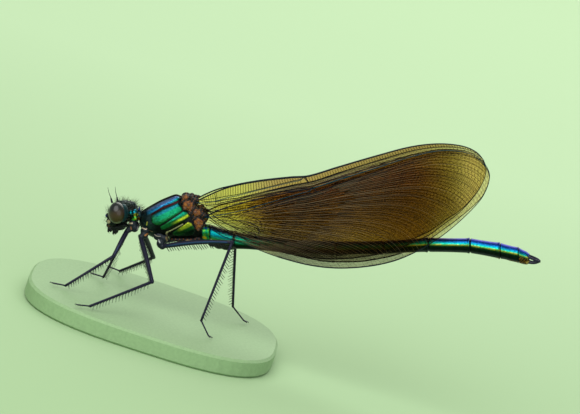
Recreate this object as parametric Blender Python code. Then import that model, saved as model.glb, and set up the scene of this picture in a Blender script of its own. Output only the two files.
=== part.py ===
"""Life-size model of an immature male beautiful demoiselle, a damselfly with
brown wings, standing with its wings closed over its back on a flat base."""

import math

import bmesh
import bpy
from mathutils import Euler, Vector

MM = 0.001

# How the insect stands. Its own frame has x running back to the tail, y to its
# right and z up from its back, in millimetres from the middle of the thorax.
BODY_PITCH = math.radians(18.0)
FOOT_DROP = 9.8
GAP = 0.3
SLIVER = 0.0015
BASE_THICKNESS = 2.0
BASE_CENTRE_X = 1.4
BASE_HALF_LENGTH = 14.0
BASE_HALF_WIDTH = 13.0
BASE_SQUARENESS = 2.8
LIFT = BASE_THICKNESS + GAP + FOOT_DROP
ORIGIN_X = 13.44

# The head is turned a little away from the insect's left side.
HEAD_CENTRE = Vector((-5.05, 0.0, 0.61))
HEAD_YAW = math.radians(-15.0)
HEAD_ROLL = math.radians(-9.0)
EYE_SIZE = Vector((0.92, 0.95, 1.16))
EYE_SPREAD = 2.05

WING_THICKNESS = 0.5
VEIN_HEIGHT = 0.15
VEIN_FOOT = 0.022
VEIN_FULL_WIDTH = 0.35
VEINS = (0.12, 0.24, 0.36, 0.49, 0.62, 0.76, 0.89)
WING_STATIONS = (0.0, 0.05, 0.12, 0.20, 0.29, 0.38, 0.47, 0.56, 0.65, 0.74, 0.83, 0.91, 0.97, 1.0)
VEIN_CROWD = 1.15

# Wing outlines in the insect's frame, as (x, z) seen from its left.
FOREWING = {
    "costa": ((2.95, 2.10), (3.9, 2.9), (6.1, 3.65), (9.15, 4.3), (13.1, 4.8), (15.0, 4.95),
              (18.2, 5.95), (22.8, 7.35), (26.15, 8.25), (29.05, 8.55), (31.55, 8.25), (33.8, 7.0)),
    "margin": ((33.8, 7.0), (34.2, 5.8), (33.7, 4.05), (32.2, 2.1), (29.85, 0.0), (27.75, -1.5),
               (23.3, -3.25), (18.45, -4.0), (13.6, -3.65)),
    "anal": ((3.55, 1.30), (5.2, -0.2), (7.65, -1.6), (10.0, -2.65), (13.6, -3.65)),
}
HINDWING = {
    "costa": ((3.80, 0.60), (5.4, 1.6), (7.8, 2.3), (11.25, 3.15), (14.1, 3.7), (15.35, 3.85),
              (18.25, 4.75), (22.85, 6.25), (26.2, 7.35), (29.1, 7.9), (31.6, 7.85), (33.65, 7.05),
              (34.6, 5.6)),
    "margin": ((34.6, 5.6), (34.55, 4.7), (33.65, 2.8), (31.55, 0.6), (29.15, -1.45), (26.75, -2.95),
               (23.85, -4.15), (20.0, -4.8), (16.1, -4.7), (11.7, -3.65)),
    "anal": ((4.15, -0.30), (5.7, -1.35), (8.1, -2.25), (11.7, -3.65)),
}
# How far each wing's middle stands from the insect's middle plane, in mm.
WING_LAYERS = {
    "forewing": {"shape": FOREWING, "above": 0.40, "beside": 0.55, "root": 0.85},
    "hindwing": {"shape": HINDWING, "above": 1.35, "beside": 1.50, "root": 1.75},
}

# Middle line of the abdomen as (x, z), and its half height along x.
ABDOMEN_LINE = ((3.0, -1.40), (4.3, -1.68), (6.9, -2.38), (12.4, -3.0), (17.8, -3.19), (23.0, -3.1),
                (27.9, -2.75), (32.4, -2.82), (35.6, -3.35), (37.6, -3.77), (38.9, -4.21))
ABDOMEN_RADIUS = ((3.0, 0.95), (4.3, 1.00), (6.9, 0.95), (8.4, 0.85), (10.2, 0.78), (13.0, 0.76),
                  (20.8, 0.74), (25.7, 0.74), (27.9, 0.78), (32.2, 0.80), (35.4, 0.87), (37.6, 0.79),
                  (38.9, 0.60))
ABDOMEN_JOINTS = (3.75, 4.6, 6.9, 12.45, 17.85, 23.05, 27.9, 32.4, 35.65, 37.65, 38.8)

# Thorax sections: x, top, bottom, half width.
THORAX = ((-3.15, 0.60, -1.05, 0.70), (-2.60, 1.00, -1.72, 1.22), (-1.95, 1.39, -2.11, 1.55),
          (-1.07, 1.88, -2.27, 1.75), (-0.20, 2.27, -2.37, 1.80), (0.65, 2.56, -2.31, 1.75),
          (1.30, 2.38, -2.31, 1.66), (2.15, 2.00, -2.41, 1.50), (2.90, 1.45, -2.40, 1.30),
          (3.45, 0.70, -2.20, 1.00))
PROTHORAX = ((-4.22, 0.60, 0.00, 0.30), (-4.10, 0.84, -0.25, 0.52), (-3.88, 1.00, -0.50, 0.74),
             (-3.62, 1.05, -0.60, 0.82), (-3.45, 0.92, -0.55, 0.72))

# Leg joints: hip and trochanter and knee in the insect's frame, then the ankle with
# its height over the floor and the toe as (x, y) in the standing frame. All in mm.
LEGS = {
    "front_left": ((-4.05, -0.35, -0.25), (-4.60, -1.00, -1.32), (-5.82, -3.40, -3.52),
                   (-8.39, -4.50, 0.30), (-9.89, -4.80)),
    "mid_left": ((-2.55, -0.65, -1.20), (-3.05, -1.45, -2.05), (-1.47, -6.00, -5.77),
                 (-5.07, -10.00, 0.30), (-6.41, -10.80)),
    "hind_left": ((-0.95, -0.85, -1.80), (-0.80, -1.45, -2.85), (6.97, -3.55, -1.90),
                  (6.66, -5.30, 1.45), (8.18, -6.00)),
    "front_right": ((-4.05, 0.35, -0.25), (-4.62, 1.00, -1.40), (-5.87, 3.40, -3.92),
                    (-5.05, 4.80, 0.30), (-6.43, 5.20)),
    "mid_right": ((-2.55, 0.65, -1.20), (-3.05, 1.45, -2.05), (-2.37, 6.00, -5.63),
                  (-3.69, 10.00, 0.30), (-5.11, 10.80)),
    "hind_right": ((-0.95, 0.85, -1.80), (-0.80, 1.45, -2.90), (6.85, 3.55, -2.30),
                   (9.38, 5.60, 1.45), (11.37, 6.00)),
}
COXA_RADII = (0.50, 0.36)
FEMUR_RADII = (0.27, 0.32, 0.27)
TIBIA_RADII = (0.26, 0.25, 0.25)
TARSUS_RADII = (0.25, 0.25, 0.16)
KNEE_TRIM = 0.48
ANKLE_TRIM = 0.35

# Colour, roughness and metallic value of each material.
FINISHES = {
    "metal_green": ((0.02, 0.30, 0.17), 0.25, 0.8),
    "metal_blue": ((0.02, 0.16, 0.24), 0.25, 0.8),
    "dark_green": ((0.02, 0.10, 0.07), 0.35, 0.6),
    "eye_brown": ((0.10, 0.06, 0.03), 0.25, 0.0),
    "black": ((0.01, 0.012, 0.015), 0.4, 0.0),
    "wing_brown": ((0.20, 0.10, 0.02), 0.4, 0.0),
    "base_pale": ((0.62, 0.70, 0.58), 0.6, 0.0),
}


def clear_scene():
    for thing in list(bpy.data.objects):
        bpy.data.objects.remove(thing, do_unlink=True)


def make_materials():
    made = {}
    for name, (colour, roughness, metallic) in FINISHES.items():
        material = bpy.data.materials.new(name)
        material.use_nodes = True
        shader = material.node_tree.nodes["Principled BSDF"]
        shader.inputs["Base Color"].default_value = (*colour, 1.0)
        shader.inputs["Roughness"].default_value = roughness
        shader.inputs["Metallic"].default_value = metallic
        made[name] = material
    return made


def standing(x, y, z):
    """A point of the standing frame (z = 0 at the underside of the base) in metres."""
    return Vector((x - ORIGIN_X, y, z)) * MM


def place(point):
    """A point of the insect's frame, pitched tail up and lifted, in metres."""
    x, y, z = point
    turned_x = x * math.cos(BODY_PITCH) - z * math.sin(BODY_PITCH)
    turned_z = x * math.sin(BODY_PITCH) + z * math.cos(BODY_PITCH)
    return standing(turned_x, y, turned_z + LIFT)


def place_head(point):
    """A point of the head's own frame, turned with the head."""
    turn = Euler((HEAD_ROLL, 0.0, HEAD_YAW), "XYZ").to_matrix()
    return place(HEAD_CENTRE + turn @ Vector(point))


def smooth_step(value):
    value = min(max(value, 0.0), 1.0)
    return value * value * (3.0 - 2.0 * value)


def read_curve(points, share):
    """A smooth curve through the points, read at a share of its length."""
    points = [Vector(p) for p in points]
    spans = [(b - a).length for a, b in zip(points, points[1:])]
    along = share * sum(spans)
    index = 0
    while index < len(spans) - 1 and along > spans[index]:
        along -= spans[index]
        index += 1
    t = min(along / spans[index], 1.0)
    start, end = points[index], points[index + 1]
    before = points[index - 1] if index else start
    after = points[index + 2] if index + 2 < len(points) else end
    lead_in = (end - before) * (spans[index] / max((end - before).length, 1e-6))
    lead_out = (after - start) * (spans[index] / max((after - start).length, 1e-6))
    return ((2 * t ** 3 - 3 * t ** 2 + 1) * start + (t ** 3 - 2 * t ** 2 + t) * lead_in
            + (3 * t ** 2 - 2 * t ** 3) * end + (t ** 3 - t ** 2) * lead_out)


def read_table(table, x):
    """The value at x in a table of (x, value), eased between its rows."""
    if x <= table[0][0]:
        return table[0][1]
    for (x0, v0), (x1, v1) in zip(table, table[1:]):
        if x <= x1:
            return v0 + (v1 - v0) * (x - x0) / (x1 - x0)
    return table[-1][1]


def add_object(name, mesh_data, material=None):
    mesh = bpy.data.meshes.new(name)
    bmesh.ops.recalc_face_normals(mesh_data, faces=mesh_data.faces)
    mesh_data.to_mesh(mesh)
    mesh_data.free()
    mesh.shade_smooth()
    mesh.set_sharp_from_angle(angle=math.radians(50.0))
    made = bpy.data.objects.new(name, mesh)
    bpy.context.collection.objects.link(made)
    if material:
        mesh.materials.append(material)
    return made


def loft(name, rings, material=None):
    """A closed body through rings of points, with a pointed fan at each end."""
    data = bmesh.new()
    loops = [[data.verts.new(p) for p in ring] for ring in rings]
    count = len(loops[0])
    for lower, upper in zip(loops, loops[1:]):
        for i in range(count):
            j = (i + 1) % count
            data.faces.new((lower[i], lower[j], upper[j], upper[i]))
    for ring in (loops[0], loops[-1]):
        middle = data.verts.new(sum((v.co for v in ring), Vector()) / count)
        for i in range(count):
            data.faces.new((ring[i], ring[(i + 1) % count], middle))
    bmesh.ops.triangulate(data, faces=data.faces)
    return add_object(name, data, material)


def tube(name, points, radii, sides=8, material=None, grow=0.0, flat_floor=None):
    """A tapering tube through world points in metres, its radii in millimetres."""
    points = [Vector(p) for p in points]
    if grow:
        points[0] = points[0] + (points[0] - points[1]).normalized() * grow * MM
        points[-1] = points[-1] + (points[-1] - points[-2]).normalized() * grow * MM
    rings = []
    side_way = Vector((0.0, 1.0, 0.0))
    for index, point in enumerate(points):
        ahead = points[min(index + 1, len(points) - 1)]
        behind = points[max(index - 1, 0)]
        along = (ahead - behind).normalized()
        across = (side_way - along * side_way.dot(along)).normalized()
        upward = along.cross(across)
        radius = (radii[index] + grow) * MM
        ring = []
        for k in range(sides):
            angle = 2 * math.pi * (k + 0.5) / sides
            spot = point + (across * math.cos(angle) + upward * math.sin(angle)) * radius
            if flat_floor is not None:
                spot.z = max(spot.z, flat_floor)
            ring.append(spot)
        rings.append(ring)
        side_way = across
    return loft(name, rings, material)


def ellipsoid(name, centre, size, placer, segments=16, rings=10, material=None, grow=0.0):
    data = bmesh.new()
    bmesh.ops.create_uvsphere(data, u_segments=segments, v_segments=rings, radius=1.0)
    for vert in data.verts:
        local = Vector(c * (s + grow) for c, s in zip(vert.co, size))
        vert.co = placer(Vector(centre) + local)
    bmesh.ops.triangulate(data, faces=data.faces)
    return add_object(name, data, material)


def keep_largest(body):
    """Keeps only the largest closed surface of a mesh."""
    data = bmesh.new()
    data.from_mesh(body.data)
    left = set(data.verts)
    shells = []
    while left:
        queue = [left.pop()]
        shell = set(queue)
        while queue:
            for edge in queue.pop().link_edges:
                for vert in edge.verts:
                    if vert in left:
                        left.remove(vert)
                        shell.add(vert)
                        queue.append(vert)
        shells.append(shell)
    shells.sort(key=len)
    for shell in shells[:-1]:
        bmesh.ops.delete(data, geom=list(shell), context="VERTS")
    bmesh.ops.dissolve_degenerate(data, edges=data.edges, dist=SLIVER * MM)
    bmesh.ops.triangulate(data, faces=data.faces)
    data.to_mesh(body.data)
    data.free()


def combine(body, others, operation):
    """Unites the others with a body or cuts them from it, and removes them."""
    group = bpy.data.collections.new("group")
    bpy.context.scene.collection.children.link(group)
    for other in others:
        group.objects.link(other)
    modifier = body.modifiers.new("combine", "BOOLEAN")
    modifier.operation = operation
    modifier.operand_type = "COLLECTION"
    modifier.collection = group
    modifier.solver = "EXACT"
    evaluated = body.evaluated_get(bpy.context.evaluated_depsgraph_get())
    mesh = bpy.data.meshes.new_from_object(evaluated)
    body.modifiers.clear()
    body.data = mesh
    for other in others:
        bpy.data.objects.remove(other, do_unlink=True)
    bpy.data.collections.remove(group)
    keep_largest(body)
    body.data.shade_smooth()
    body.data.set_sharp_from_angle(angle=math.radians(50.0))


def section_ring(x, top, bottom, half_width, sides, narrow_top):
    """An upright oval section of the body, narrower towards its top."""
    ring = []
    for k in range(sides):
        angle = 2 * math.pi * k / sides
        rise = math.sin(angle)
        width = half_width * (1.0 - narrow_top * max(rise, 0.0))
        ring.append(place((x, width * math.cos(angle), (top + bottom) / 2 + rise * (top - bottom) / 2)))
    return ring


def abdomen_centre(x):
    return read_table(ABDOMEN_LINE, x)


def abdomen_radius(x):
    return read_table(ABDOMEN_RADIUS, x)


def build_abdomen(materials):
    """Ten segments, each flared a little at its ends."""
    for number in range(1, 11):
        start = ABDOMEN_JOINTS[number - 1]
        end = ABDOMEN_JOINTS[number] - GAP
        rings = []
        for share, swell in ((0.0, 0.90), (0.07, 1.0), (0.35, 0.97), (0.68, 0.97), (0.93, 1.02), (1.0, 0.93)):
            x = start + (end - start) * share
            radius = abdomen_radius(x) * swell
            middle = abdomen_centre(x)
            rings.append(section_ring(x, middle + radius, middle - radius, radius, 12, 0.0))
        segment = loft(f"abdomen_{number}", rings, materials["metal_blue"])
        if number == 2:
            pouch = ellipsoid("pouch", (6.0, 0.0, -3.05), (0.75, 0.5, 0.5), place, 12, 8)
            combine(segment, [pouch], "UNION")


def build_claspers(materials):
    """The male's two upper claspers bow out and meet, and two lower ones lie under them."""
    for side, sign in (("left", -1), ("right", 1)):
        upper = [(38.85, 0.40, -3.86), (39.30, 0.62, -3.98), (39.80, 0.58, -4.22), (40.15, 0.32, -4.45)]
        lower = [(38.82, 0.32, -4.62), (39.20, 0.40, -4.72), (39.60, 0.36, -4.88)]
        for name, path, radii in (("cercus", upper, (0.25, 0.25, 0.20, 0.10)),
                                  ("paraproct", lower, (0.20, 0.17, 0.10))):
            points = [place((x, sign * y, z)) for x, y, z in path]
            tube(f"{name}_{side}", points, radii, 6, materials["black"])


def wing_point(shape, s, t):
    """A point of a wing: s runs from the root to the margin along the veins, and t
    from the leading edge to the trailing edge."""
    near = t ** (1.0 + VEIN_CROWD * (1.0 - s) * smooth_step(s / 0.12))
    front = read_curve(shape["costa"], s)
    back = read_curve(shape["anal"], s)
    margin = read_curve(shape["margin"], near)
    corner_front = Vector(shape["costa"][0])
    corner_back = Vector(shape["anal"][0])
    root = corner_front.lerp(corner_back, near)
    tip_front = Vector(shape["margin"][0])
    tip_back = Vector(shape["margin"][-1])
    across = front.lerp(back, near)
    along = root.lerp(margin, s)
    corners = corner_front.lerp(corner_back, near).lerp(tip_front.lerp(tip_back, near), s)
    return across + along - corners


def wing_offset(layer, x, z):
    """How far a wing's middle stands from the insect's middle plane at (x, z)."""
    beside = layer["beside"] + abdomen_radius(x)
    above_back = z - abdomen_centre(x) - abdomen_radius(x)
    lower = smooth_step((5.2 - above_back) / 4.6)
    offset = layer["above"] + (beside - layer["above"]) * lower
    rooted = smooth_step((8.0 - x) / 3.6)
    return offset + (layer["root"] - offset) * rooted


def wing_lines():
    """The t of each lengthwise line, and how high the membrane is raised there."""
    lines = [(0.0, 1.0)]
    for vein in VEINS:
        lines += [(vein - VEIN_FOOT, 0.0), (vein, 1.0), (vein + VEIN_FOOT, 0.0)]
    return lines + [(1.0, 0.6)]


def build_wing(name, layer, sign, material):
    data = bmesh.new()
    lines = wing_lines()
    outer, inner = [], []
    for s in WING_STATIONS:
        outer_row, inner_row = [], []
        for t, raised in lines:
            x, z = wing_point(layer["shape"], s, t)
            middle = wing_offset(layer, x, z)
            beyond = wing_point(layer["shape"], s, min(t + VEIN_FOOT, 1.0))
            width = (beyond - wing_point(layer["shape"], s, max(t - VEIN_FOOT, 0.0))).length
            height = VEIN_HEIGHT * raised * smooth_step(width / VEIN_FULL_WIDTH)
            far = middle + WING_THICKNESS / 2 + height
            outer_row.append(data.verts.new(place((x, sign * far, z))))
            inner_row.append(data.verts.new(place((x, sign * (middle - WING_THICKNESS / 2), z))))
        outer.append(outer_row)
        inner.append(inner_row)
    rows, columns = len(outer), len(lines)
    for face in (outer, inner):
        for i in range(rows - 1):
            for j in range(columns - 1):
                a, b, c, d = face[i][j], face[i][j + 1], face[i + 1][j + 1], face[i + 1][j]
                data.faces.new((a, b, c))
                data.faces.new((a, c, d))
    rim = [(0, j) for j in range(columns)] + [(i, columns - 1) for i in range(1, rows)]
    rim += [(rows - 1, j) for j in range(columns - 2, -1, -1)] + [(i, 0) for i in range(rows - 2, 0, -1)]
    for (i, j), (k, m) in zip(rim, rim[1:] + rim[:1]):
        data.faces.new((outer[i][j], outer[k][m], inner[k][m]))
        data.faces.new((outer[i][j], inner[k][m], inner[i][j]))
    return add_object(name, data, material)


def wing_socket(layer, sign):
    """A block a gap larger than the wing's root, to cut the thorax clear of it."""
    data = bmesh.new()
    for s, stretch in ((0.0, -GAP), (0.10, 0.6)):
        for t, spread in ((0.0, GAP), (1.0, -GAP)):
            x, z = wing_point(layer["shape"], s, t)
            middle = wing_offset(layer, x, z)
            for side in (-1, 1):
                depth = middle + side * (WING_THICKNESS / 2 + GAP)
                data.verts.new(place((x + stretch, sign * depth, z + spread)))
    hull = bmesh.ops.convex_hull(data, input=data.verts)
    loose = [v for v in hull["geom_interior"] if isinstance(v, bmesh.types.BMVert)]
    bmesh.ops.delete(data, geom=loose, context="VERTS")
    return add_object("socket", data)


def leg_piece_ends(start, end, trim_start, trim_end):
    """The two ends of a leg's piece, each drawn in by its trim in millimetres."""
    along = (end - start).normalized()
    return start + along * trim_start * MM, end - along * trim_end * MM


def build_coxa(name, leg, material=None, grow=0.0):
    return tube(name, [place(leg[0]), place(leg[1])], COXA_RADII, 8, material, grow)


def build_leg(name, leg, materials):
    """A coxa, femur, tibia and a tarsus whose end lies flat on the floor."""
    black = materials["black"]
    build_coxa(f"coxa_{name}", leg, black)
    hip, knee = place(leg[1]), place(leg[2])
    floor = LIFT - FOOT_DROP
    ankle_x, ankle_y, ankle_height = leg[3]
    ankle = standing(ankle_x, ankle_y, floor + ankle_height)
    toe = standing(*leg[4], floor + 0.10)
    start, end = leg_piece_ends(hip, knee, GAP, 0.0)
    bow = Vector((0.0, 0.0, 0.12 * MM))
    tube(f"femur_{name}", [start, start.lerp(end, 0.45) + bow, end], FEMUR_RADII, 6, black)
    start, end = leg_piece_ends(knee, ankle, KNEE_TRIM, ANKLE_TRIM)
    tube(f"tibia_{name}", [start, start.lerp(end, 0.5), end], TIBIA_RADII, 6, black)
    start, end = leg_piece_ends(ankle, toe, 0.0, 0.0)
    middle = start.lerp(end, 0.5 if ankle_height < 1.0 else 0.8)
    middle.z = (floor + 0.22) * MM
    start.z -= 0.05 * MM
    tube(f"tarsus_{name}", [start, middle, end], TARSUS_RADII, 6, black, flat_floor=floor * MM)


def build_head(materials):
    """The head is broad, with its eyes at the two sides and its face pushed forward."""
    head = ellipsoid("head", (-0.10, 0.0, 0.12), (0.78, 2.10, 0.95), place_head, 24, 12,
                     materials["dark_green"])
    lumps = [
        ((-0.70, 0.0, 0.35), (0.80, 1.35, 0.82)),
        ((-1.10, 0.0, -0.35), (0.85, 1.00, 0.60)),
        ((-1.00, 0.0, -0.85), (0.75, 0.85, 0.50)),
        ((0.50, 0.0, 0.15), (0.45, 1.45, 0.72)),
        ((0.92, 1.55, 0.0), (0.50, 0.75, 0.85)),
        ((0.92, -1.55, 0.0), (0.50, 0.75, 0.85)),
    ]
    combine(head, [ellipsoid("lump", centre, size, place_head) for centre, size in lumps], "UNION")
    cutters = []
    for side, sign in (("left", -1), ("right", 1)):
        centre = (0.0, sign * EYE_SPREAD, 0.0)
        ellipsoid(f"eye_{side}", centre, EYE_SIZE, place_head, 20, 12, materials["eye_brown"])
        cutters.append(ellipsoid("cut", centre, EYE_SIZE, place_head, 20, 12, None, GAP))
        base = Vector((-1.08, sign * 0.85, 1.30))
        tip = Vector((-1.48, sign * 1.15, 2.85))
        points = [place_head(base.lerp(tip, share)) for share in (0.0, 0.3, 0.65, 1.0)]
        tube(f"antenna_{side}", points, (0.25, 0.25, 0.14, 0.06), 6, materials["black"])
    jaw = ((-0.80, 0.0, -1.72), (0.95, 0.78, 0.42))
    chin = ellipsoid("chin", (-1.35, 0.0, -1.95), (0.40, 0.50, 0.35), place_head, 12, 8)
    mouth = ellipsoid("mouthparts", *jaw, place_head, 16, 10, materials["black"])
    combine(mouth, [chin], "UNION")
    cutters.append(ellipsoid("cut", *jaw, place_head, 16, 10, None, GAP))
    cutters.append(ellipsoid("neck_hollow", (-3.75, 0.0, 0.22), (0.72, 0.85, 0.92), place))
    combine(head, cutters, "DIFFERENCE")


def build_thorax(materials):
    rings = [section_ring(*row, 18, 0.30) for row in THORAX]
    thorax = loft("thorax", rings, materials["metal_green"])
    hinges = []
    for sign in (-1, 1):
        hinges.append(ellipsoid("hinge", (2.45, sign * 0.85, 1.50), (0.85, 0.62, 0.70), place, 12, 8))
        hinges.append(ellipsoid("hinge", (3.05, sign * 1.45, 0.15), (0.95, 0.62, 0.85), place, 12, 8))
    combine(thorax, hinges, "UNION")
    cutters = []
    for layer in WING_LAYERS.values():
        cutters += [wing_socket(layer, -1), wing_socket(layer, 1)]
    for name in ("mid_left", "hind_left", "mid_right", "hind_right"):
        cutters.append(build_coxa("cut", LEGS[name], None, GAP))
    combine(thorax, cutters, "DIFFERENCE")
    rings = [section_ring(*row, 14, 0.15) for row in PROTHORAX]
    front = loft("prothorax", rings, materials["metal_green"])
    collar = ellipsoid("collar", (-3.55, 0.0, 0.95), (0.14, 0.62, 0.30), place, 12, 8)
    combine(front, [collar], "UNION")
    cutters = [build_coxa("cut", LEGS[name], None, GAP) for name in ("front_left", "front_right")]
    combine(front, cutters, "DIFFERENCE")


def build_base(materials):
    """A plain flat plate under all six feet, oval with full sides."""
    rings = []
    for height, inset in ((0.0, 0.25), (0.25, 0.0), (BASE_THICKNESS - 0.25, 0.0), (BASE_THICKNESS, 0.25)):
        ring = []
        for k in range(48):
            angle = 2 * math.pi * k / 48
            across, along = math.cos(angle), math.sin(angle)
            x = math.copysign(abs(across) ** (2 / BASE_SQUARENESS), across) * (BASE_HALF_LENGTH - inset)
            y = math.copysign(abs(along) ** (2 / BASE_SQUARENESS), along) * (BASE_HALF_WIDTH - inset)
            ring.append(standing(BASE_CENTRE_X + x, y, height))
        rings.append(ring)
    loft("stand_base", rings, materials["base_pale"])


def main():
    clear_scene()
    materials = make_materials()
    build_head(materials)
    build_thorax(materials)
    build_abdomen(materials)
    build_claspers(materials)
    for wing, layer in WING_LAYERS.items():
        for side, sign in (("left", -1), ("right", 1)):
            build_wing(f"{wing}_{side}", layer, sign, materials["wing_brown"])
    for name, leg in LEGS.items():
        build_leg(name, leg, materials)
    build_base(materials)


main()
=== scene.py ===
"""Looks of the damselfly: wings with their net of veins, a metallic body, hairs,
bristled legs, a plain floor, soft light and the camera."""

import math
import random

import bmesh
import bpy
import numpy as np
from mathutils import Euler, Matrix, Vector


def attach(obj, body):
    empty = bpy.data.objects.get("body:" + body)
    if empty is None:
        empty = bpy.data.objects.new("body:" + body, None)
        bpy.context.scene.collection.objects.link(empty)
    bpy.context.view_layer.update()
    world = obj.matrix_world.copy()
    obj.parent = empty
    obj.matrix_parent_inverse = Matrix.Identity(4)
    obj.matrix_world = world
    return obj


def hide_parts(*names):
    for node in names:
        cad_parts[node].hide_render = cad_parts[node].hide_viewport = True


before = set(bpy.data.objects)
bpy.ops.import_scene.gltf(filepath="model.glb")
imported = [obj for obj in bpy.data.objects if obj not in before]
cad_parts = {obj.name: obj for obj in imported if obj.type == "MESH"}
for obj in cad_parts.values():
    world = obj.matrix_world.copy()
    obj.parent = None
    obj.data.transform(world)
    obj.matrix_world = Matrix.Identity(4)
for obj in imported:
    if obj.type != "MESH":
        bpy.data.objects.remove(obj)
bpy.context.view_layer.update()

MM = 0.001

# The insect's own frame, as in the solids: x back to the tail, y to its right, z up.
BODY_PITCH = math.radians(18.0)
LIFT = 12.1
FLOOR_OF_FEET = 2.3
ORIGIN_X = 13.44
HEAD_CENTRE = Vector((-5.05, 0.0, 0.61))
HEAD_YAW = math.radians(-15.0)
HEAD_ROLL = math.radians(-9.0)
EYE_SIZE = (0.92, 0.95, 1.16)
EYE_SPREAD = 2.05

# The picture: its size, the millimetres of a pixel at the insect, and the pixel
# that shows the middle of the thorax.
PICTURE_WIDTH, PICTURE_HEIGHT = 580, 414
MM_PER_PIXEL = 0.108
THORAX_PIXEL = (170.0, 218.0)
CAMERA_ROLL = math.radians(18.0)
CAMERA_RISE = math.radians(12.0)
CAMERA_DISTANCE = 600.0
SENSOR = 36.0

FOREWING = {
    "costa": ((2.62, 2.00), (3.9, 2.68), (6.1, 3.62), (9.15, 4.3), (13.1, 4.8), (15.0, 4.95),
              (18.2, 5.95), (22.8, 7.35), (26.15, 8.25), (29.05, 8.58), (31.5, 8.36), (32.95, 7.78),
              (33.75, 6.95)),
    "margin": ((33.75, 6.95), (34.1, 5.9), (33.9, 4.7), (33.0, 3.1), (31.45, 1.3), (29.6, -0.15),
               (27.7, -1.5), (23.3, -3.25), (18.45, -4.0), (13.6, -3.65)),
    "anal": ((3.55, 1.30), (5.2, -0.2), (7.65, -1.6), (10.0, -2.65), (13.6, -3.65)),
}
HINDWING = {
    "costa": ((3.72, 0.58), (5.4, 1.40), (7.8, 2.14), (11.25, 3.0), (14.1, 3.6), (15.35, 3.80),
              (18.25, 4.75), (22.85, 6.25), (26.2, 7.35), (29.1, 7.98), (31.4, 7.92), (32.7, 7.52),
              (33.65, 6.85), (34.25, 6.0)),
    "margin": ((34.25, 6.0), (34.5, 5.1), (34.25, 4.0), (33.5, 2.6), (31.5, 0.5), (29.15, -1.45), (26.75, -2.95),
               (23.85, -4.15), (20.0, -4.8), (16.1, -4.7), (11.7, -3.65)),
    "anal": ((4.15, -0.30), (5.7, -1.35), (8.1, -2.25), (11.7, -3.65)),
}
# Two dark veins round the clear rear corner at the hindwing's root, as (x, z) of its outline.
CORNER_VEINS = (
    ((3.92, 0.82), (4.54, 0.49), (5.25, 0.15), (6.02, -0.02), (7.13, -0.41), (8.21, -0.85),
     (9.32, -1.30), (9.66, -1.63)),
    ((5.25, 0.30), (6.02, 0.27), (7.67, 0.27), (8.50, 0.14), (9.21, -0.14), (9.76, -0.64),
     (9.66, -1.19)),
)
# The membranes lie inside the solids: the forewing near its outer face and the
# hindwing near its inner one, so the four wings lie close together. The strip is what the
# membrane behind the leading edge lets through, the band is how much lighter it is just
# behind that, and the edge is its vein's material.
WING_LAYERS = {
    "forewing": {"shape": FOREWING, "above": 0.26, "beside": 0.34, "root": 0.90, "seen": 1.3,
                 "strip": (0.83, 0.62, 0.42), "edge": 2, "lines": 1.0, "band": 0.6, "corner": ()},
    "hindwing": {"shape": HINDWING, "above": 0.70, "beside": 0.82, "root": 1.55, "seen": 1.9,
                 "strip": (0.84, 0.60, 0.38), "edge": 1, "lines": 0.72, "band": 0.0,
                 "corner": CORNER_VEINS},
}
VEIN_CROWD = 0.60
# How far the second and third long veins lie behind the leading edge, in millimetres.
SUBCOSTA_LINE = ((0.0, 0.0), (0.035, 0.42), (0.09, 0.80), (0.16, 0.93), (0.235, 0.74), (0.305, 0.50),
                 (0.365, 0.30), (0.378, 0.04))
RADIUS_LINE = ((0.0, 0.0), (0.035, 0.62), (0.09, 1.18), (0.16, 1.36), (0.235, 1.14), (0.305, 0.86),
               (0.378, 0.60), (0.60, 0.48), (0.80, 0.37), (0.95, 0.24), (1.0, 0.12))
SECTOR_LINE = ((0.235, 1.55), (0.305, 1.26), (0.378, 1.00), (0.60, 0.86), (0.80, 0.68), (0.95, 0.42),
               (1.0, 0.22))

ABDOMEN_LINE = ((3.0, -1.40), (4.3, -1.68), (6.9, -2.38), (12.4, -3.0), (17.8, -3.19), (23.0, -3.1),
                (27.9, -2.75), (32.4, -2.82), (35.6, -3.35), (37.6, -3.77), (38.9, -4.21))
ABDOMEN_RADIUS = ((3.0, 0.95), (4.3, 1.00), (6.9, 0.95), (8.4, 0.85), (10.2, 0.78), (13.0, 0.76),
                  (20.8, 0.74), (25.7, 0.74), (27.9, 0.78), (32.2, 0.80), (35.4, 0.87), (37.6, 0.79),
                  (38.9, 0.60))
ABDOMEN_JOINTS = (3.30, 4.35, 6.9, 12.45, 17.85, 23.05, 27.9, 32.4, 35.65, 37.65, 38.8)

THORAX = ((-3.15, 0.60, -1.05, 0.70), (-2.60, 1.00, -1.72, 1.22), (-1.95, 1.39, -2.11, 1.55),
          (-1.07, 1.88, -2.27, 1.75), (-0.20, 2.27, -2.37, 1.80), (0.65, 2.56, -2.31, 1.75),
          (1.30, 2.38, -2.31, 1.66), (2.15, 2.00, -2.41, 1.50), (2.90, 1.45, -2.40, 1.30),
          (3.45, 0.70, -2.20, 1.00))
THORAX_NARROW_TOP = 0.30

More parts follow.
